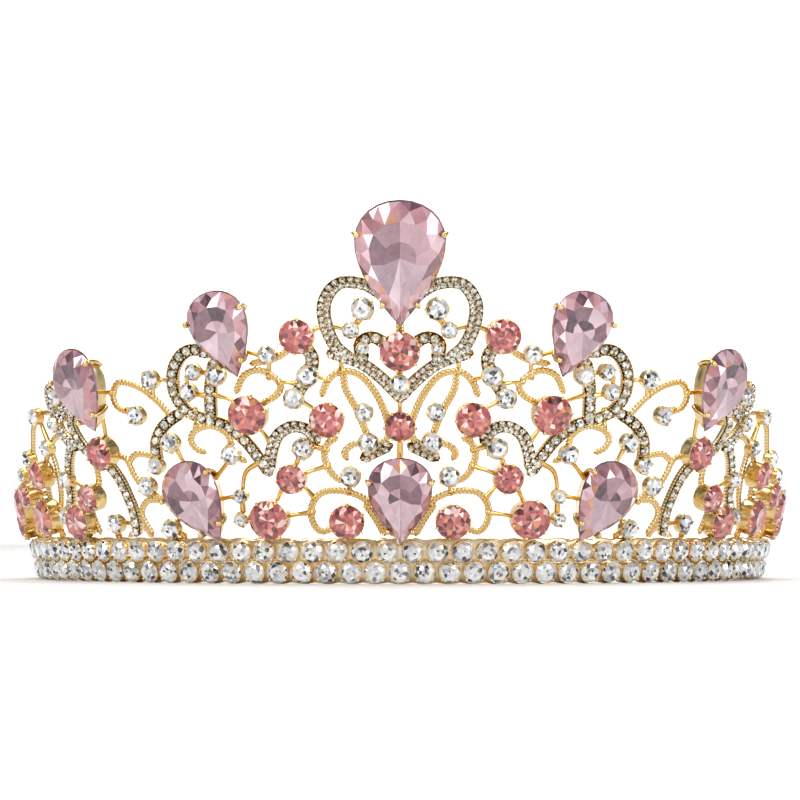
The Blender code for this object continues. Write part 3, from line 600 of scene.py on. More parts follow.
CREST_HEIGHT = 0.0780
FOOT_SHARE = 0.134
FOOT_GAP = 0.0003
WIRE_WIDTH = 0.00158
WIRE_RISE = 0.001248
BEAD_PITCH = 0.00078
BEAD_DEPTH = 0.40
WIRE_GOLD = (0.99, 0.94, 0.79)
AMBER = (0.94, 0.82, 0.57)
# colour of the painted shade between the wires' beads
WIRE_HOLLOW_SHADE = (0.80, 0.63, 0.34)
WIRE_SECTION = (
    # degrees round, share of the half width, share of the beads' depth
    (0, 1.00, 0.7), (36, 1.00, 1.0), (64, 0.95, 1.0), (90, 0.55, 0.2), (116, 0.95, 1.0),
    (144, 1.00, 1.0), (180, 1.00, 0.7), (230, 1.00, 0.3), (270, 1.00, 0.0), (310, 1.00, 0.3),
)
WIRES = {
    # points (along, up), shares of BAND_HALF_LENGTH and CREST_HEIGHT
    "pear_neck": ((0.000, 0.750), (0.000, 0.617)),
    "saddle": ((0.134, 0.640), (0.158, 0.606), (0.178, 0.590), (0.206, 0.582)),
    "brow": ((0.230, 0.505), (0.216, 0.550), (0.196, 0.565), (0.176, 0.552), (0.164, 0.524),
             (0.176, 0.494), (0.209, 0.470)),
    "arch": ((0.108, 0.494), (0.098, 0.536), (0.080, 0.560), (0.056, 0.552), (0.038, 0.518),
             (0.024, 0.470), (0.016, 0.420), (0.020, 0.384), (0.044, 0.366)),
    "arch_stem": ((0.076, 0.558), (0.074, 0.515), (0.058, 0.456), (0.044, 0.386)),
    "heart": ((0.086, 0.392), (0.102, 0.374), (0.107, 0.344), (0.102, 0.310), (0.090, 0.284),
              (0.070, 0.276)),
    "heart_curl": ((0.044, 0.380), (0.066, 0.372), (0.078, 0.352), (0.074, 0.330)),
    "jewel_cross": ((-0.006, 0.420), (0.024, 0.412)),
    "low_loop": ((0.040, 0.215), (0.058, 0.238), (0.084, 0.252), (0.112, 0.248), (0.128, 0.218),
                 (0.130, 0.176), (0.116, 0.146), (0.086, 0.166)),
    "vee": ((0.052, 0.222), (0.037, 0.182), (0.022, 0.134)),
    "inner_arc": ((0.284, 0.352), (0.300, 0.364), (0.307, 0.388), (0.296, 0.413), (0.270, 0.422),
                  (0.248, 0.398), (0.240, 0.350), (0.222, 0.326)),
    "shoulder_scroll": ((0.404, 0.462), (0.426, 0.476), (0.432, 0.510), (0.416, 0.542),
                        (0.386, 0.530), (0.358, 0.496), (0.334, 0.448)),
    "side_scroll": ((0.450, 0.350), (0.428, 0.340), (0.418, 0.300), (0.404, 0.262), (0.384, 0.244),
                    (0.352, 0.214), (0.320, 0.190)),
    "side_scroll_ring": ((0.424, 0.330), (0.404, 0.352), (0.376, 0.344), (0.368, 0.322)),
    "low_curl": ((0.398, 0.134), (0.414, 0.190), (0.400, 0.226), (0.376, 0.228)),
    "side_arch_a": ((0.500, 0.352), (0.494, 0.310), (0.498, 0.262), (0.524, 0.212), (0.514, 0.136)),
    "side_wave": ((0.556, 0.405), (0.582, 0.402), (0.606, 0.375), (0.634, 0.330), (0.648, 0.250),
                  (0.645, 0.190)),
    "side_inner_wave": ((0.606, 0.375), (0.600, 0.310), (0.606, 0.240), (0.620, 0.190),
                        (0.600, 0.168)),
    "side_crown": ((0.622, 0.462), (0.652, 0.430), (0.670, 0.385), (0.686, 0.350), (0.716, 0.345),
                   (0.745, 0.305), (0.780, 0.300), (0.808, 0.262), (0.836, 0.240), (0.856, 0.186),
                   (0.866, 0.134)),
}


def wall_height(up):
    """Height along the wall for a share of the crest's height; the feet stand just over
    the band."""
    foot = BAND_HEIGHT + FOOT_GAP
    return foot + (CREST_HEIGHT - foot) * (np.asarray(up) - FOOT_SHARE) / (1 - FOOT_SHARE)


def smooth_line(shares, step, parts=1):
    """Catmull-Rom curve through the points, resampled to equal steps along its length,
    each in so many parts: the (along, height) in metres and the run."""
    along, up = np.array(shares).T
    spots = np.stack([along * BAND_HALF_LENGTH, wall_height(up)], 1)
    if len(spots) > 2:
        spots = np.concatenate([[2 * spots[0] - spots[1]], spots, [2 * spots[-1] - spots[-2]]])
        t = np.linspace(0, 1, 24, endpoint=False)[None, :, None]
        before, start, stop, after = [spots[k:len(spots) - 3 + k, None] for k in range(4)]
        curve = (2 * start + (stop - before) * t
                 + (2 * before - 5 * start + 4 * stop - after) * t ** 2
                 + (3 * start - before - 3 * stop + after) * t ** 3) / 2
        spots = np.concatenate([curve.reshape(-1, 2), spots[-2:-1]])
    length = np.concatenate([[0.0], np.cumsum(np.linalg.norm(np.diff(spots, axis=0), axis=1))])
    steps = max(1, round(length[-1] / step))
    run = np.linspace(0, length[-1], steps * parts + 1)
    return np.stack([np.interp(run, length, spots[:, k]) for k in range(2)], 1), run


def both_sides(lines):
    """Each line on the right and, unless it is on the middle line, on the left."""
    for shares in lines.values():
        yield shares
        if max(along for along, up in shares) > 0.0:
            yield tuple((-along, up) for along, up in shares)


def square_to(steps):
    """Unit vectors a quarter turn anticlockwise from steps on the wall."""
    return unit(np.stack([-steps[:, 1], steps[:, 0]], 1))


def wall_bar(line, across, rise):
    """Closed bar over a line of the wall: its section's points are set across the line and
    lifted off the wall, and the whole is bent to the wall."""
    square = square_to(np.gradient(line, axis=0))
    flat = line[:, None] + across[..., None] * square[:, None]
    return tube_mesh(on_wall(flat[..., 0], flat[..., 1], rise))


def rounded_ends(run, half, least):
    """Share of the width along a bar: the square root of the distance from the nearer end
    over the half width, from least up to one."""
    return np.sqrt(np.clip(np.minimum(run, run[-1] - run) / half, least, 1))[:, None]


def beaded_wire(shares):
    """Wire of oval section, grooved along its top, with a row of beads along each edge:
    the section sinks in between the beads with the sine of the run, the two rows half a
    bead apart, and the ends are rounded. Gives the mesh and, for each point, its share of
    painted shade, deepest where the section sinks between beads."""
    line, run = smooth_line(shares, BEAD_PITCH / 4)
    turn, size, depth = np.array(WIRE_SECTION).T
    turn = np.radians(turn)
    beat = math.pi * run[:, None] / BEAD_PITCH + np.where(np.cos(turn) > 0, 0, math.pi / 2)
    swell = size * (1 - BEAD_DEPTH * depth * (1 - np.abs(np.sin(beat))))
    ends = rounded_ends(run, WIRE_WIDTH / 2, 0.06)
    across = WIRE_WIDTH / 2 * np.cos(turn) * swell * ends
    rise = WIRE_RISE / 2 * (1 + np.sin(turn) * swell * ends)
    # painted shade between the beads, none on the wire's underside
    hollow = np.clip((1 - swell) / BEAD_DEPTH, 0, 1) * (np.sin(turn) > -0.5)
    return wall_bar(line, across, rise), np.append(hollow, [0.0, 0.0])


gold_wire_finish = plated("beaded_wire_gold", WIRE_GOLD, AMBER, 0.20, WIRE_HOLLOW_SHADE)
wires = [beaded_wire(shares) for shares in both_sides(WIRES)]
piece("openwork_wires", merged([mesh for mesh, hollow in wires]), gold_wire_finish,
      hollow=np.concatenate([hollow for mesh, hollow in wires]),
      stands_for=["openwork"])


# The ribbons are strips with a row of small beads raised along each edge. A single row of
# small clear stones lies between the beads, or a double row of smaller ones, each stone
# held by drops of gold.

RIBBON_WIDTH = 0.0026
RIBBON_RISE = 0.0011
RIM_RISE = 0.0003
RIBBON_BEAD_PITCH = 0.00064
SINGLE_STONE_WIDTH = 0.00190
SINGLE_PITCH = 0.00198
DOUBLE_STONE_WIDTH = 0.00124
DOUBLE_PITCH = 0.00125
SMALL_STONE_SEAT = 0.0002
RIBBON_CLAW_WIDTH = 0.00046
RIBBON_CLAW_LIFT = 0.0003
# painted reflections on the small stones: white highlights, greys, dark wedges and gold from the
# settings around them
PAVE_FACET_REFLECTIONS = (((1.00, 1.00, 0.99), 0.32), ((0.84, 0.84, 0.82), 0.22),
               ((0.66, 0.65, 0.60), 0.16), ((0.42, 0.41, 0.36), 0.12),
               ((0.18, 0.17, 0.16), 0.07), ((0.90, 0.80, 0.56), 0.11))
RIBBON_SECTION = (
    # share of the half width, share of the rise, 1 on a beaded rim, 1 on the tray's floor
    (0.96, 0.30, 0, 0), (1.00, 0.75, 1, 0), (0.99, 1.00, 1, 0), (0.93, 1.04, 1, 0),
    (0.86, 0.75, 1, 1), (0.00, 0.70, 0, 1), (-0.86, 0.75, 1, 1), (-0.93, 1.04, 1, 0),
    (-0.99, 1.00, 1, 0), (-1.00, 0.75, 1, 0), (-0.96, 0.30, 0, 0), (-0.80, 0.05, 0, 0),
    (0.00, 0.00, 0, 0), (0.80, 0.05, 0, 0),
)
SINGLE_RIBBONS = {
    # points (along, up), shares of BAND_HALF_LENGTH and CREST_HEIGHT
    "inner_hook": ((0.012, 0.624), (0.036, 0.648), (0.052, 0.630), (0.048, 0.582)),
    "outer_arc": ((0.262, 0.604), (0.280, 0.622), (0.302, 0.612), (0.320, 0.570), (0.323, 0.515),
                  (0.308, 0.466), (0.280, 0.442), (0.248, 0.424), (0.222, 0.386), (0.202, 0.338),
                  (0.186, 0.292)),
    "stem_up": ((0.254, 0.600), (0.266, 0.520), (0.270, 0.436)),
    "down_branch": ((0.312, 0.462), (0.332, 0.444), (0.352, 0.418), (0.366, 0.378), (0.368, 0.322)),
    "falling_arc": ((0.500, 0.352), (0.468, 0.330), (0.448, 0.292), (0.436, 0.244), (0.428, 0.196),
                    (0.428, 0.152), (0.436, 0.136)),
    "ear_arc": ((0.512, 0.498), (0.530, 0.440), (0.520, 0.392), (0.500, 0.352)),
    "side_spine": ((0.538, 0.385), (0.556, 0.340), (0.566, 0.288), (0.572, 0.236), (0.590, 0.190),
                   (0.588, 0.136)),
}
DOUBLE_RIBBONS = {
    # points (along, up), shares of BAND_HALF_LENGTH and CREST_HEIGHT
    "crest_loop": ((0.010, 0.738), (0.044, 0.781), (0.078, 0.785), (0.097, 0.742), (0.098, 0.688),
                   (0.086, 0.628), (0.062, 0.588)),
    "valley": ((0.098, 0.612), (0.078, 0.600), (0.050, 0.580), (0.024, 0.542), (-0.006, 0.484)),
    "crest_fall": ((0.134, 0.645), (0.118, 0.598), (0.124, 0.552), (0.145, 0.494)),
    "crook": ((0.190, 0.300), (0.184, 0.352), (0.172, 0.398), (0.150, 0.420), (0.128, 0.410),
              (0.114, 0.374)),
    "collar": ((0.010, 0.374), (0.030, 0.358), (0.056, 0.334)),
    "plume": ((0.560, 0.548), (0.535, 0.536), (0.532, 0.500), (0.545, 0.470), (0.567, 0.442)),
    "plume_outer": ((0.560, 0.548), (0.574, 0.515), (0.567, 0.442), (0.552, 0.400), (0.524, 0.368)),
}


def ribbon(shares):
    """Strip with a rolled edge on each side: the section is a low tray, and its rims swell
    with the sine of the run into beads. Gives the mesh and, for each point, its share of
    painted shade, between the rims' beads and on the tray's floor under the stones."""
    line, run = smooth_line(shares, RIBBON_BEAD_PITCH / 3)
    side, up, rim, floor = np.array(RIBBON_SECTION).T
    beat = np.abs(np.sin(math.pi * run / RIBBON_BEAD_PITCH))[:, None]
    across = (RIBBON_WIDTH / 2 * side * (1 - 0.10 * rim * (1 - beat))
              * rounded_ends(run, RIBBON_WIDTH / 2, 0.10))
    rise = RIBBON_RISE * up + RIM_RISE * rim * (beat - 0.35)
    # painted shade between the rim beads and on the tray floor under the stones
    hollow = rim * (1 - beat) + 0.8 * floor
    return wall_bar(line, across, rise), np.append(hollow, [0.0, 0.0])


def single_row(shares):
    """Places of a single row's stones, at the middle of even steps of the run, and of the
    drops that hold them, one each side of every gap."""
    line = smooth_line(shares, SINGLE_PITCH, 2)[0]
    gaps = line[::2]
    beside = square_to(gaps[2:] - gaps[:-2]) * SINGLE_STONE_WIDTH * 0.42
    return line[1::2], np.concatenate([gaps[1:-1] + beside, gaps[1:-1] - beside])


def double_row(shares):
    """Places of a double row's stones, the two rows half a step apart and each one stone
    short at one end, and of the drops between the rows."""
    line = smooth_line(shares, DOUBLE_PITCH)[0]
    step = line[1:] - line[:-1]
    beside = square_to(step) * DOUBLE_STONE_WIDTH * 0.47
    return np.concatenate([line[1:-1] + beside[1:] + step[1:] * 0.25,
                           line[:-2] - beside[:-1] + step[:-1] * 0.75]), line[:-1] + step / 2


def small_stone(width, girdle, rise):
    """Tiny brilliant of 36 triangles: six table wedges, eighteen crown facets and a
    twelve-sided cone behind."""
    edge = round_edge(width)
    rings = [[[0.0, 0.0, girdle + rise * 0.75]],
             np.concatenate([edge(circle(6)) * TABLE_SHARE, np.full((6, 1), girdle + rise)], 1),
             np.concatenate([edge(circle(12)), np.full((12, 1), girdle)], 1),
             [[0.0, 0.0, girdle - width * 0.35]]]
    k, j = np.arange(6), np.arange(12)
    after, later = (k + 1) % 6, (j + 1) % 12
    return faceted(rings, [
        (0 * k, 1 + k, 1 + after, k),
        (1 + k, 7 + 2 * k, 8 + 2 * k, 6 + k),
        (1 + k, 8 + 2 * k, 1 + after, 12 + k),
        (1 + after, 8 + 2 * k, 7 + 2 * after, 18 + k),
        (19 + 0 * j, 7 + later, 7 + j, 24 + j // 2)])


# the ribbons' hollows take the default colour of painted shade
ribbon_finish = plated("beaded_ribbon_gold", WIRE_GOLD, AMBER, 0.20)
ribbons = [ribbon(shares) for lines in (SINGLE_RIBBONS, DOUBLE_RIBBONS)
           for shares in both_sides(lines)]
piece("openwork_ribbons", merged([mesh for mesh, hollow in ribbons]), ribbon_finish,
      hollow=np.concatenate([hollow for mesh, hollow in ribbons]))
ribbon_drops = []
for name, lines, row, width, seed in (
        ("ribbon_stones", SINGLE_RIBBONS, single_row, SINGLE_STONE_WIDTH, 21),
        ("pave_stones", DOUBLE_RIBBONS, double_row, DOUBLE_STONE_WIDTH, 22)):
    rows = [row(shares) for shares in both_sides(lines)]
    ribbon_drops += [drops for seats, drops in rows]
    along, height = np.concatenate([seats for seats, drops in rows]).T
    leans = np.random.default_rng(seed).uniform(0, 60, len(along))
    stones(name, small_stone(width, RIBBON_RISE + SMALL_STONE_SEAT, width * 0.22),
           (along, height, leans), clear_finish, PAVE_FACET_REFLECTIONS, seed)
drop_points, drop_faces = turned_form([(0.7, -0.7), (1.0, 0.0), (0.7, 0.7)], 6)
drop_points = drop_points * RIBBON_CLAW_WIDTH / 2 + [0, 0, RIBBON_RISE + RIBBON_CLAW_LIFT]
piece("ribbon_claws", copies_on_wall((drop_points, drop_faces),
                                     *np.concatenate(ribbon_drops).T),
      cup_finish)


# Ties are short plain bars between neighbours, and solder runs out round their ends in
# shiny amber drops.

TIE_WIDTH = 0.00105
TIE_RISE = 0.0011
TIE_STEP = 0.0006
SOLDER_WIDTH = 0.0019
SOLDER_RISE = 0.0013
SOLDER_GOLD = (0.96, 0.82, 0.54)
SOLDER_AMBER = (0.85, 0.64, 0.31)
SOLDER_PROFILE = ((0.27, 0.0), (0.48, 0.24), (0.49, 0.55), (0.33, 0.86))
TIES = {
    # points (along, up), shares of BAND_HALF_LENGTH and CREST_HEIGHT
    "crest_tie": ((0.050, 0.700), (0.066, 0.668), (0.096, 0.676), (0.134, 0.656)),
    "pear_tie": ((0.178, 0.596), (0.222, 0.620)),
    "brow_tie": ((0.168, 0.535), (0.140, 0.530)),
    "outer_arc_end": ((0.264, 0.606), (0.236, 0.640)),
    "leaf_tie": ((0.250, 0.556), (0.298, 0.562), (0.298, 0.514), (0.270, 0.500)),
    "finial_tie": ((0.357, 0.548), (0.318, 0.540)),
    "arch_foot": ((0.145, 0.494), (0.099, 0.442)),
    "arch_top": ((0.080, 0.556), (0.078, 0.600)),
    "heart_tie": ((0.098, 0.380), (0.099, 0.430)),
    "heart_stone": ((0.104, 0.360), (0.136, 0.365), (0.153, 0.300)),
    "jewel_drop": ((0.000, 0.617), (0.000, 0.300)),
    "low_loop_outer": ((0.129, 0.196), (0.176, 0.184)),
    "low_loop_up": ((0.070, 0.292), (0.074, 0.246)),
    "low_inner_foot": ((0.076, 0.170), (0.076, 0.134)),
    "low_outer_foot": ((0.192, 0.176), (0.196, 0.134)),
    "low_outer_up": ((0.168, 0.270), (0.190, 0.200)),
    "pair_link": ((0.200, 0.330), (0.226, 0.300), (0.234, 0.241), (0.236, 0.180)),
    "inner_arc_pear": ((0.243, 0.345), (0.278, 0.280)),
    "down_stone": ((0.338, 0.382), (0.364, 0.382)),
    "shoulder_finial": ((0.357, 0.540), (0.362, 0.502)),
    "shoulder_pear": ((0.430, 0.515), (0.468, 0.520)),
    "under_pear_drop": ((0.462, 0.480), (0.462, 0.350)),
    "low_stone_foot": ((0.334, 0.196), (0.352, 0.160), (0.340, 0.134)),
    "falling_arc_top": ((0.460, 0.360), (0.466, 0.324)),
    "falling_stone": ((0.428, 0.165), (0.466, 0.168), (0.472, 0.134)),
    "ear_tie": ((0.484, 0.515), (0.520, 0.475)),
    "plume_stone": ((0.548, 0.512), (0.572, 0.512)),
    "plume_root": ((0.530, 0.455), (0.567, 0.442)),
    "side_a_seat": ((0.494, 0.280), (0.505, 0.240), (0.543, 0.180)),
    "side_spine_seat": ((0.582, 0.210), (0.543, 0.180)),
    "side_flag": ((0.606, 0.375), (0.622, 0.462), (0.573, 0.470)),
    "side_d_foot": ((0.640, 0.190), (0.632, 0.134)),
    "side_e_top": ((0.686, 0.350), (0.702, 0.260)),
    "side_c_seat": ((0.606, 0.300), (0.652, 0.300), (0.680, 0.340)),
    "side_e_foot": ((0.704, 0.240), (0.700, 0.134)),
    "side_f_top": ((0.745, 0.305), (0.764, 0.240)),
    "side_f_link": ((0.720, 0.248), (0.752, 0.226)),
    "side_f_foot": ((0.764, 0.206), (0.758, 0.134)),
    "side_g_top": ((0.808, 0.262), (0.828, 0.190)),
    "side_g_foot": ((0.830, 0.160), (0.828, 0.134)),
    "arch_top_outer": ((0.096, 0.538), (0.124, 0.552)),
    "crook_tie": ((0.182, 0.372), (0.209, 0.440)),
    "heart_outer": ((0.102, 0.318), (0.146, 0.292)),
    "low_loop_side": ((0.150, 0.285), (0.124, 0.232)),
    "inner_arc_join": ((0.296, 0.420), (0.294, 0.466)),
    "pair_seat": ((0.190, 0.184), (0.236, 0.180)),
    "pair_pear": ((0.234, 0.241), (0.276, 0.230)),
    "down_pear": ((0.338, 0.382), (0.316, 0.290)),
    "stem_tie": ((0.266, 0.508), (0.209, 0.470)),
    "saddle_tie": ((0.178, 0.607), (0.180, 0.545)),
    "side_spine_in": ((0.566, 0.288), (0.520, 0.250)),
    "side_e_seat": ((0.660, 0.250), (0.706, 0.252)),
    "side_d_link": ((0.664, 0.200), (0.692, 0.234)),
    "side_g_link": ((0.788, 0.212), (0.822, 0.180)),
    "shoulder_stone": ((0.390, 0.455), (0.410, 0.470)),
    "centre_seat": ((0.022, 0.230), (0.044, 0.230)),
    "ear_seat": ((0.498, 0.356), (0.466, 0.360)),
}


def tie(shares):
    """Plain bar of round section, a fifth thicker at its ends and thinner at its middle,
    with the cosine of the run."""
    line, run = smooth_line(shares, TIE_STEP)
    turn = circle(10)
    thick = 1 + 0.20 * np.cos(2 * math.pi * run / run[-1])[:, None]
    return wall_bar(line, TIE_WIDTH / 2 * np.cos(turn) * thick,
                    TIE_RISE / 2 * (1 + np.sin(turn)) * thick)


tie_finish = plated("solder_gold", SOLDER_GOLD, SOLDER_AMBER, 0.16)
tie_lines = list(both_sides(TIES))
piece("openwork_ties", merged([tie(shares) for shares in tie_lines]), tie_finish)
drop_points, drop_faces = turned_form(SOLDER_PROFILE, 8)
drop_points = drop_points * [SOLDER_WIDTH, SOLDER_WIDTH * 0.8, SOLDER_RISE]
drop_along, drop_up = np.array([spot for shares in tie_lines
                                for spot in (shares[0], shares[-1])]).T
drop_leans = np.random.default_rng(5).uniform(0, 180, len(drop_along))
drop_sizes = np.random.default_rng(6).uniform(0.62, 1.0, len(drop_along))
piece("solder_drops", copies_on_wall((drop_points, drop_faces), drop_along * BAND_HALF_LENGTH,
                                     wall_height(drop_up), drop_leans, drop_sizes),
      tie_finish)


# Clear round stones stand among the scrolls, 65 in all. They are brilliants like the
# band's in several widths, each in a stamped cup with four claws that is soldered on.

OPENWORK_CUP_TOP = 0.0020
CLEAR_WIDTH = 0.0040
CLEAR_CUP_SHARE = 0.512
CLEAR_CLAW_WIDTH = 0.00062
CLEARS = (
    # along, up, share of CLEAR_WIDTH
    (0.000, 0.530, 1.00), (0.048, 0.722, 1.15), (0.124, 0.552, 1.10), (0.145, 0.494, 1.05),
    (0.178, 0.607, 0.95), (0.254, 0.556, 1.05), (0.298, 0.514, 0.90), (0.357, 0.548, 1.00),
    (0.049, 0.458, 0.95), (0.044, 0.380, 1.05), (0.070, 0.292, 1.05), (0.136, 0.365, 1.10),
    (0.243, 0.350, 1.00), (0.338, 0.382, 1.00), (0.390, 0.455, 1.00), (0.368, 0.322, 0.90),
    (0.390, 0.268, 1.00), (0.357, 0.155, 1.00), (0.466, 0.168, 1.00), (0.548, 0.512, 0.90),
    (0.622, 0.462, 0.90), (0.566, 0.288, 0.90), (0.686, 0.350, 0.90), (0.064, 0.668, 0.85),
    (0.049, 0.622, 0.65), (0.287, 0.566, 0.85), (0.567, 0.442, 0.85), (0.606, 0.375, 0.85),
    (0.590, 0.190, 0.85), (0.234, 0.241, 0.75), (0.236, 0.180, 0.75), (0.745, 0.305, 0.85),
    (0.808, 0.262, 0.80),
)


def wall_places(rows, width, turn, seed):
    """Along, height, lean and width of a table's stones, the mirrored ones last, each
    turned by a drawn angle of up to turn degrees."""
    rows = np.array(rows)
    rows = np.concatenate([rows, rows[rows[:, 0] > 0] * [-1, 1, 1]])
    leans = np.random.default_rng(seed).uniform(0, turn, len(rows))
    return rows[:, 0] * BAND_HALF_LENGTH, wall_height(rows[:, 1]), leans, rows[:, 2] * width


clear_places = wall_places(CLEARS, CLEAR_WIDTH, 360 / CLEAR_FOLD, 7)
clear_cup = merged([cup_form(CLEAR_CUP_SHARE, 0.0, OPENWORK_CUP_TOP, 16),
                    claws_round(0.5, OPENWORK_CUP_TOP, CLEAR_CLAW_WIDTH, CLAW_LENGTH, 4,
                                CLEAR_WIDTH)])
piece("clear_cups", copies_on_wall(clear_cup, *clear_places), cup_finish)
clear_stone = stone_form(round_edge(1.0), CLEAR_FOLD,
                         brilliant_levels(OPENWORK_CUP_TOP, CROWN_RISE))
stones("clear_stones", clear_stone, clear_places, clear_finish,
       CLEAR_FACET_REFLECTIONS, 31)


# Thirty round coral-pink stones are brilliants of glass with a mirrored back. Each sits in
# a gold cup with six small claws.

ROUND_WIDTH = 0.0080
ROUND_CUP_SHARE = 0.502
ROUND_CUP_TOP = 0.0033
ROUND_GIRDLE = 0.00341
ROUND_RISE = 0.00109
ROUND_FOLD = 13
ROUND_CLAW_WIDTH = 0.00070
ROUND_CLAW_LENGTH = 0.0008
# coral tint of the glass with painted reflections: dark red wedges, pale pink highlights and an
# orange flash
CORAL_TINTS_AND_REFLECTIONS = (((0.77, 0.39, 0.37), 0.26), ((0.68, 0.30, 0.30), 0.24),
                ((0.85, 0.54, 0.51), 0.15), ((0.54, 0.20, 0.21), 0.14),
                ((0.37, 0.11, 0.13), 0.09), ((0.98, 0.84, 0.81), 0.07),
                ((0.88, 0.55, 0.37), 0.05))
ROUNDS = {
    # along, up, share of ROUND_WIDTH
    "centre_upper": (0.000, 0.617, 1.000),
    "centre_lower": (0.000, 0.425, 0.750),
    "crest": (0.134, 0.656, 0.875),
    "shoulder": (0.209, 0.456, 1.000),
    "arch": (0.099, 0.442, 0.875),
    "middle": (0.153, 0.290, 0.750),
    "low_outer": (0.190, 0.184, 1.000),
    "low_inner": (0.076, 0.178, 0.875),
    "under_pear": (0.462, 0.360, 0.875),
    "side_a": (0.505, 0.240, 0.750),
    "side_b": (0.543, 0.176, 0.925),
    "side_c": (0.634, 0.305, 0.750),
    "side_d": (0.645, 0.190, 1.000),
    "side_e": (0.706, 0.252, 0.750),
    "side_f": (0.768, 0.222, 1.000),
    "side_g": (0.830, 0.172, 0.850),
}

coral_places = wall_places(list(ROUNDS.values()), ROUND_WIDTH, 30, 8)
coral_cup = merged([cup_form(ROUND_CUP_SHARE, 0.0, ROUND_CUP_TOP, 24),
                    claws_round(0.5, ROUND_GIRDLE, ROUND_CLAW_WIDTH, ROUND_CLAW_LENGTH, 6,
                                ROUND_WIDTH)])
piece("coral_cups", copies_on_wall(coral_cup, *coral_places), cup_finish)
coral_finish = cut_glass("coral_crystal_cut", 0.05, 0.30)
coral_nodes = [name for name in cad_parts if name.startswith("pink_stone")]
coral_stone = stone_form(round_edge(1.0), ROUND_FOLD,
                         brilliant_levels(ROUND_GIRDLE, ROUND_RISE, 0.42))
stones("coral_stones", coral_stone, coral_places, coral_finish,
       CORAL_TINTS_AND_REFLECTIONS, 41, coral_nodes)


# Eight pear-cut stones are of pale lilac-pink glass. Each lies in a deep gold cup of its
# own outline and is held by four round-tipped claws.

PEAR_WIDTH = 0.0130
PEAR_LENGTH = 0.0180
PEAR_GIRDLE = 0.00407
PEAR_TOP = 0.0063
PEAR_CUP_TOP = 0.0039
PEAR_DEPTH = 0.0030
PEAR_FOLD = 16
PEAR_CUP_SIDES = 40
PEAR_CLAW_WIDTH = 0.0010
PEAR_CLAW_TAPER = 0.0003
PEAR_CLAW_TIP = 0.00062
PEAR_CLAW_ANGLES = (48, 118, 242, 312)
PEAR_CLAW_LINE = (
    # share of the outline, out
    (0.80, 0.0004), (0.93, 0.0018), (1.00, 0.0032), (1.03, 0.0041), (1.03, 0.0046),
    (1.00, 0.0050), (0.97, 0.0052),
)
PEAR_CUP_PROFILE = (
    # share of the outline, out
    (0.50, 0.0), (0.72, 0.0001), (0.78, 0.0005), (0.84, 0.0018),
    (0.94, PEAR_CUP_TOP - 0.0004), (0.975, PEAR_CUP_TOP - 0.0001), (0.97, PEAR_CUP_TOP),
    (0.92, PEAR_CUP_TOP - 0.0002), (0.70, PEAR_CUP_TOP - 0.0012),
)
PEARS = {
    # along, up, shares of PEAR_WIDTH and PEAR_LENGTH, lean in degrees
    "top": (0.000, 0.842, 1.385, 1.389, 0.0),
    "centre": (0.000, 0.233, 1.000, 1.000, 0.0),
    "upper": (0.232, 0.666, 1.000, 1.000, 16.0),
    "lower": (0.296, 0.230, 1.000, 1.000, 29.0),
    "outer": (0.472, 0.531, 1.000, 1.000, 17.0),
}
# lilac tint of the glass with painted reflections: smooth lilac below, darker plum wedges above, a
# rosy rim with painted white highlights
LILAC_TINTS_AND_REFLECTIONS = (((0.72, 0.61, 0.65), 0.40), ((0.78, 0.66, 0.70), 0.30),
                ((0.65, 0.54, 0.59), 0.20), ((0.83, 0.73, 0.77), 0.10))
PLUM_TINTS_AND_REFLECTIONS = (((0.48, 0.34, 0.39), 0.30), ((0.61, 0.47, 0.51), 0.24),
               ((0.83, 0.71, 0.75), 0.17), ((0.31, 0.19, 0.25), 0.17),
               ((0.75, 0.60, 0.64), 0.12))
ROSE_TINTS_AND_REFLECTIONS = (((0.81, 0.62, 0.65), 0.25), ((0.72, 0.52, 0.56), 0.22),
               ((0.88, 0.75, 0.78), 0.16), ((0.54, 0.36, 0.42), 0.15),
               ((0.36, 0.21, 0.28), 0.11), ((1.00, 0.95, 0.97), 0.05),
               ((0.84, 0.60, 0.50), 0.06))
EDGE_TINTS_AND_REFLECTIONS = (((0.74, 0.53, 0.56), 0.30), ((0.81, 0.63, 0.66), 0.24),
               ((0.86, 0.73, 0.76), 0.12), ((0.55, 0.37, 0.42), 0.18),
               ((0.40, 0.25, 0.31), 0.11), ((0.83, 0.58, 0.48), 0.05))
# painted dark outline at the girdle, a painted dark reflection over the tint
GIRDLE_TINTS_AND_REFLECTIONS = (((0.46, 0.30, 0.35), 0.50), ((0.60, 0.42, 0.46), 0.30),
                 ((0.32, 0.20, 0.26), 0.20))
PEAR_PALETTES = (LILAC_TINTS_AND_REFLECTIONS, PLUM_TINTS_AND_REFLECTIONS, ROSE_TINTS_AND_REFLECTIONS, EDGE_TINTS_AND_REFLECTIONS, GIRDLE_TINTS_AND_REFLECTIONS,
                 BACK_SHADES)


def pear_edge(width, length):
    """Pear outline with its point down: right = sin t sin(t / 2), over 0.7698, its largest
    value, and up = -cos t."""
    return lambda turn: np.stack([width / 2 * np.sin(turn) * np.sin(turn / 2) / 0.7698,
                                  -length / 2 * np.cos(turn)], 1)


def pear_levels():
    """Shares and heights of a pear stone: a large table, a steep ring of kites and a
    bevelled girdle, with the star inside the table a little deeper."""
    rise = PEAR_TOP - PEAR_GIRDLE
    return ((0.10, PEAR_TOP - rise * 0.30), (0.36, PEAR_TOP - rise * 0.12),
            (0.68, PEAR_TOP), (0.85, PEAR_GIRDLE + rise * 0.60),
            (0.974, PEAR_GIRDLE + 0.00016), (1.0, PEAR_GIRDLE - 0.00014),
            (0.0, PEAR_GIRDLE - PEAR_DEPTH))


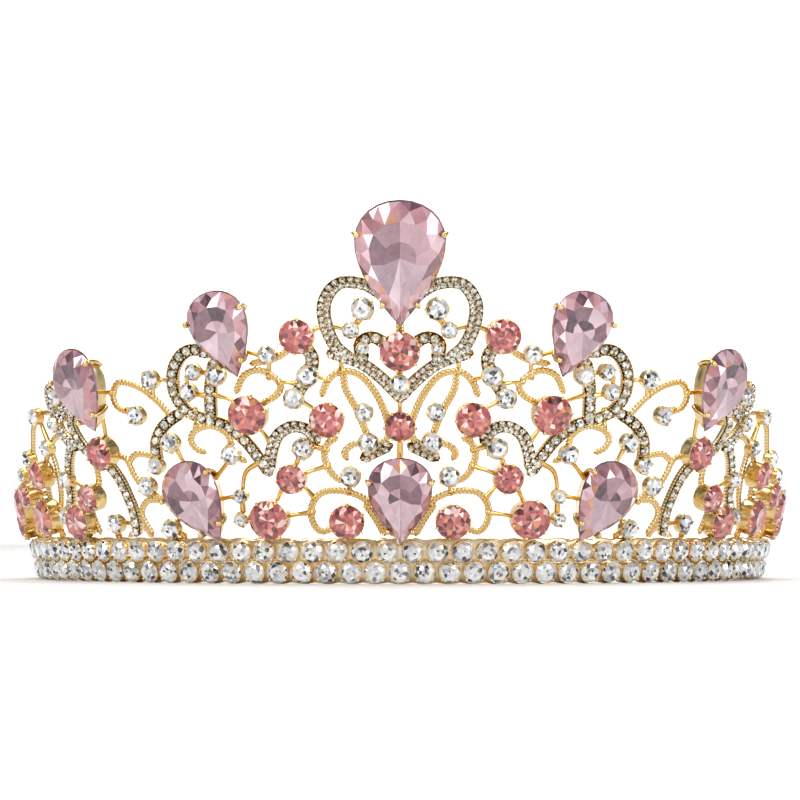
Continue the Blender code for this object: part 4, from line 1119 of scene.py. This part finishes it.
def pear_zones():
    """Palette of each facet, and the facet that it takes its colour from: the star and
    table wedges go in pairs, smooth lilac in the lower half, where star and table make one
    plane, and plum above it, both painted reflections over the lilac tint; then come the
    rosy rim with painted highlights, the edge, the girdle's painted dark outline and the
    back."""
    facet = np.arange(10 * PEAR_FOLD)
    row, turn = np.divmod(facet, PEAR_FOLD)
    pair = turn // 2 * 2
    low = np.abs((turn + 0.5) / PEAR_FOLD - 0.5) > 0.22
    zone = np.select([row >= 8, row >= 6, row >= 3, row == 2, low], [5, 4, 3, 2, 0], 1)
    return zone, np.select([row >= 2, low], [facet, pair], row * PEAR_FOLD + pair)


def pear_cup(edge):
    """Gold cup behind a pear stone: the stone's outline at shares of its size, from the
    flat back up the flared wall to a thin lip and down inside."""
    outline = edge(circle(PEAR_CUP_SIDES))
    return tube_mesh(np.array([
        np.concatenate([outline * share, np.full((PEAR_CUP_SIDES, 1), out)], 1)
        for share, out in PEAR_CUP_PROFILE]))


def pear_claw(edge, degrees):
    """Round wire that climbs the cup's wall at one angle of the outline, bends over the
    stone's edge and ends in a small ball."""
    reach, out = np.array(PEAR_CLAW_LINE).T
    right, rise = edge(np.radians([degrees]))[0]
    run = np.linspace(0, 1, 19)
    path = np.stack([np.interp(run, np.linspace(0, 1, len(out)), line)
                     for line in (right * reach, rise * reach, out)], 1)
    return [tube_along(path, PEAR_CLAW_WIDTH - PEAR_CLAW_TAPER * run, 10),
            ball(path[-1], PEAR_CLAW_TIP)]


pear_finish = cut_glass("lilac_crystal_cut", 0.04, 0.24)
pear_nodes = [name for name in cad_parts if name.startswith("pear_stone")]
pear_rows = np.array(list(PEARS.values()))
pear_rows = np.concatenate([pear_rows, pear_rows[pear_rows[:, 0] > 0] * [-1, 1, 1, 1, -1]])
zone, leader = pear_zones()
pear_meshes = []
pear_paints = []
cup_meshes = []
for number, (along, up, width, length, lean) in enumerate(pear_rows):
    edge = pear_edge(width * PEAR_WIDTH, length * PEAR_LENGTH)
    place = (along * BAND_HALF_LENGTH, wall_height(up), lean)
    form = stone_form(edge, PEAR_FOLD, pear_levels())
    pear_meshes.append(copies_on_wall((form[0], [form[1]]), *place))
    pear_paints.append(facet_paint(1, form, zone, PEAR_PALETTES, 60 + number, leader))
    claws = [part for degrees in PEAR_CLAW_ANGLES for part in pear_claw(edge, degrees)]
    cup_meshes.append(copies_on_wall(merged([pear_cup(edge)] + claws), *place))
piece("pear_stones", merged(pear_meshes), pear_finish, smooth=False,
      paint=np.concatenate(pear_paints), stands_for=pear_nodes)
piece("pear_cups", merged(cup_meshes), cup_finish)


# The tiara stands on a pale floor that curves up behind it, under soft studio light. The
# camera stands just over the floor, straight in front, with a long lens.

FLOOR_FRONT = -3.0
FLOOR_BACK = 1.6
FLOOR_HALF_WIDTH = 3.0
WALL_CURVE = 0.8
WALL_TOP = 2.6
FLOOR_WHITE = (0.93, 0.925, 0.92)
FLOOR_PALE = (0.95, 0.95, 0.945)
SKY_STRENGTH = 0.58
CAMERA_DISTANCE = 0.650
CAMERA_HEIGHT = 0.013
CAMERA_TILT = math.radians(2.1)
LENS = 146.0
SENSOR_WIDTH = 36.0
LIGHTS = (
    # name, place, aimed at, size across, size up, watts, colour
    ("key_softbox", (-0.55, -0.75, 0.70), (0.0, 0.0, 0.03), 0.60, 0.60, 6.5, (1.0, 0.99, 0.97)),
    ("fill_softbox", (0.75, -0.60, 0.35), (0.0, 0.0, 0.03), 0.40, 0.55, 3.5, (0.97, 0.98, 1.0)),
    ("top_softbox", (0.0, 0.15, 0.95), (0.0, 0.03, 0.03), 0.60, 0.60, 4.5, (1.0, 1.0, 1.0)),
    ("back_softbox", (0.30, 0.95, 0.45), (0.0, 0.0, 0.03), 0.50, 0.40, 2.3, (1.0, 0.97, 0.93)),
    ("wall_light", (0.0, 1.1, 0.9), (0.0, 2.4, 0.7), 1.60, 0.60, 30.0, (1.0, 1.0, 1.0)),
)


def studio_floor():
    """Floor and wall as one sheet: a level run, a quarter circle up and the wall, carried
    straight across."""
    level = np.linspace(FLOOR_FRONT, FLOOR_BACK, 47)
    turn = np.linspace(0, math.pi / 2, 24)[1:]
    back = np.concatenate([level, FLOOR_BACK + WALL_CURVE * np.sin(turn),
                           [FLOOR_BACK + WALL_CURVE]])[:, None]
    rise = np.concatenate([0 * level, WALL_CURVE * (1 - np.cos(turn)), [WALL_TOP]])[:, None]
    side = np.linspace(-FLOOR_HALF_WIDTH, FLOOR_HALF_WIDTH, 31)
    points = np.stack(np.broadcast_arrays(side, back, rise), -1)
    return points.reshape(-1, 3), grid_faces(*points.shape[:2], False)[:, ::-1]


floor_points, floor_faces = studio_floor()
mesh = bpy.data.meshes.new("studio_floor")
mesh.from_pydata(floor_points.tolist(), [], floor_faces.tolist())
mesh.shade_smooth()
floor_finish, shader, start, place = new_finish("studio_floor_white")
mottle = start.node("ShaderNodeTexNoise", Vector=place, Scale=6.0, Detail=3.0)
start.feed(shader, Base_Color=mottle.blend(tint(FLOOR_WHITE), tint(FLOOR_PALE)), Roughness=0.75)
mesh.materials.append(floor_finish)
floor = bpy.data.objects.new("studio_floor", mesh)
bpy.context.scene.collection.objects.link(floor)

for name, place, aim, wide, tall, power, colour in LIGHTS:
    light = bpy.data.lights.new(name, "AREA")
    light.shape = "RECTANGLE"
    light.size = wide
    light.size_y = tall
    light.energy = power
    light.color = colour
    lamp = bpy.data.objects.new(name, light)
    lamp.location = place
    lamp.rotation_euler = Vector(np.array(aim) - np.array(place)).to_track_quat(
        "-Z", "Y").to_euler()
    bpy.context.scene.collection.objects.link(lamp)

bpy.context.scene.view_settings.view_transform = "Standard"
world = bpy.data.worlds.new("studio_air")
world.use_nodes = True
bpy.context.scene.world = world
sky = Wire(world.node_tree)
direction = sky.node("ShaderNodeTexCoord", output="Generated")
panels = sky.node("ShaderNodeTexNoise", Vector=direction, Scale=2.6, Detail=1.0)
glow = sky.node("ShaderNodeValToRGB", {"stops": [
    (0.40, (0.20, 0.20, 0.21, 1)), (0.50, (0.58, 0.58, 0.59, 1)),
    (0.60, (1.0, 1.0, 1.0, 1))]}, Fac=panels)
sky.feed(world.node_tree.nodes["Background"], Color=glow, Strength=SKY_STRENGTH)

camera = bpy.data.objects.new("camera", bpy.data.cameras.new("camera"))
camera.data.lens = LENS
camera.data.sensor_width = SENSOR_WIDTH
camera.data.clip_start = 0.01
camera.data.clip_end = 20.0
camera.location = (0.0, -CAMERA_DISTANCE, CAMERA_HEIGHT)
camera.rotation_euler = (math.pi / 2 + CAMERA_TILT, 0.0, 0.0)
bpy.context.scene.collection.objects.link(camera)
bpy.context.scene.camera = camera
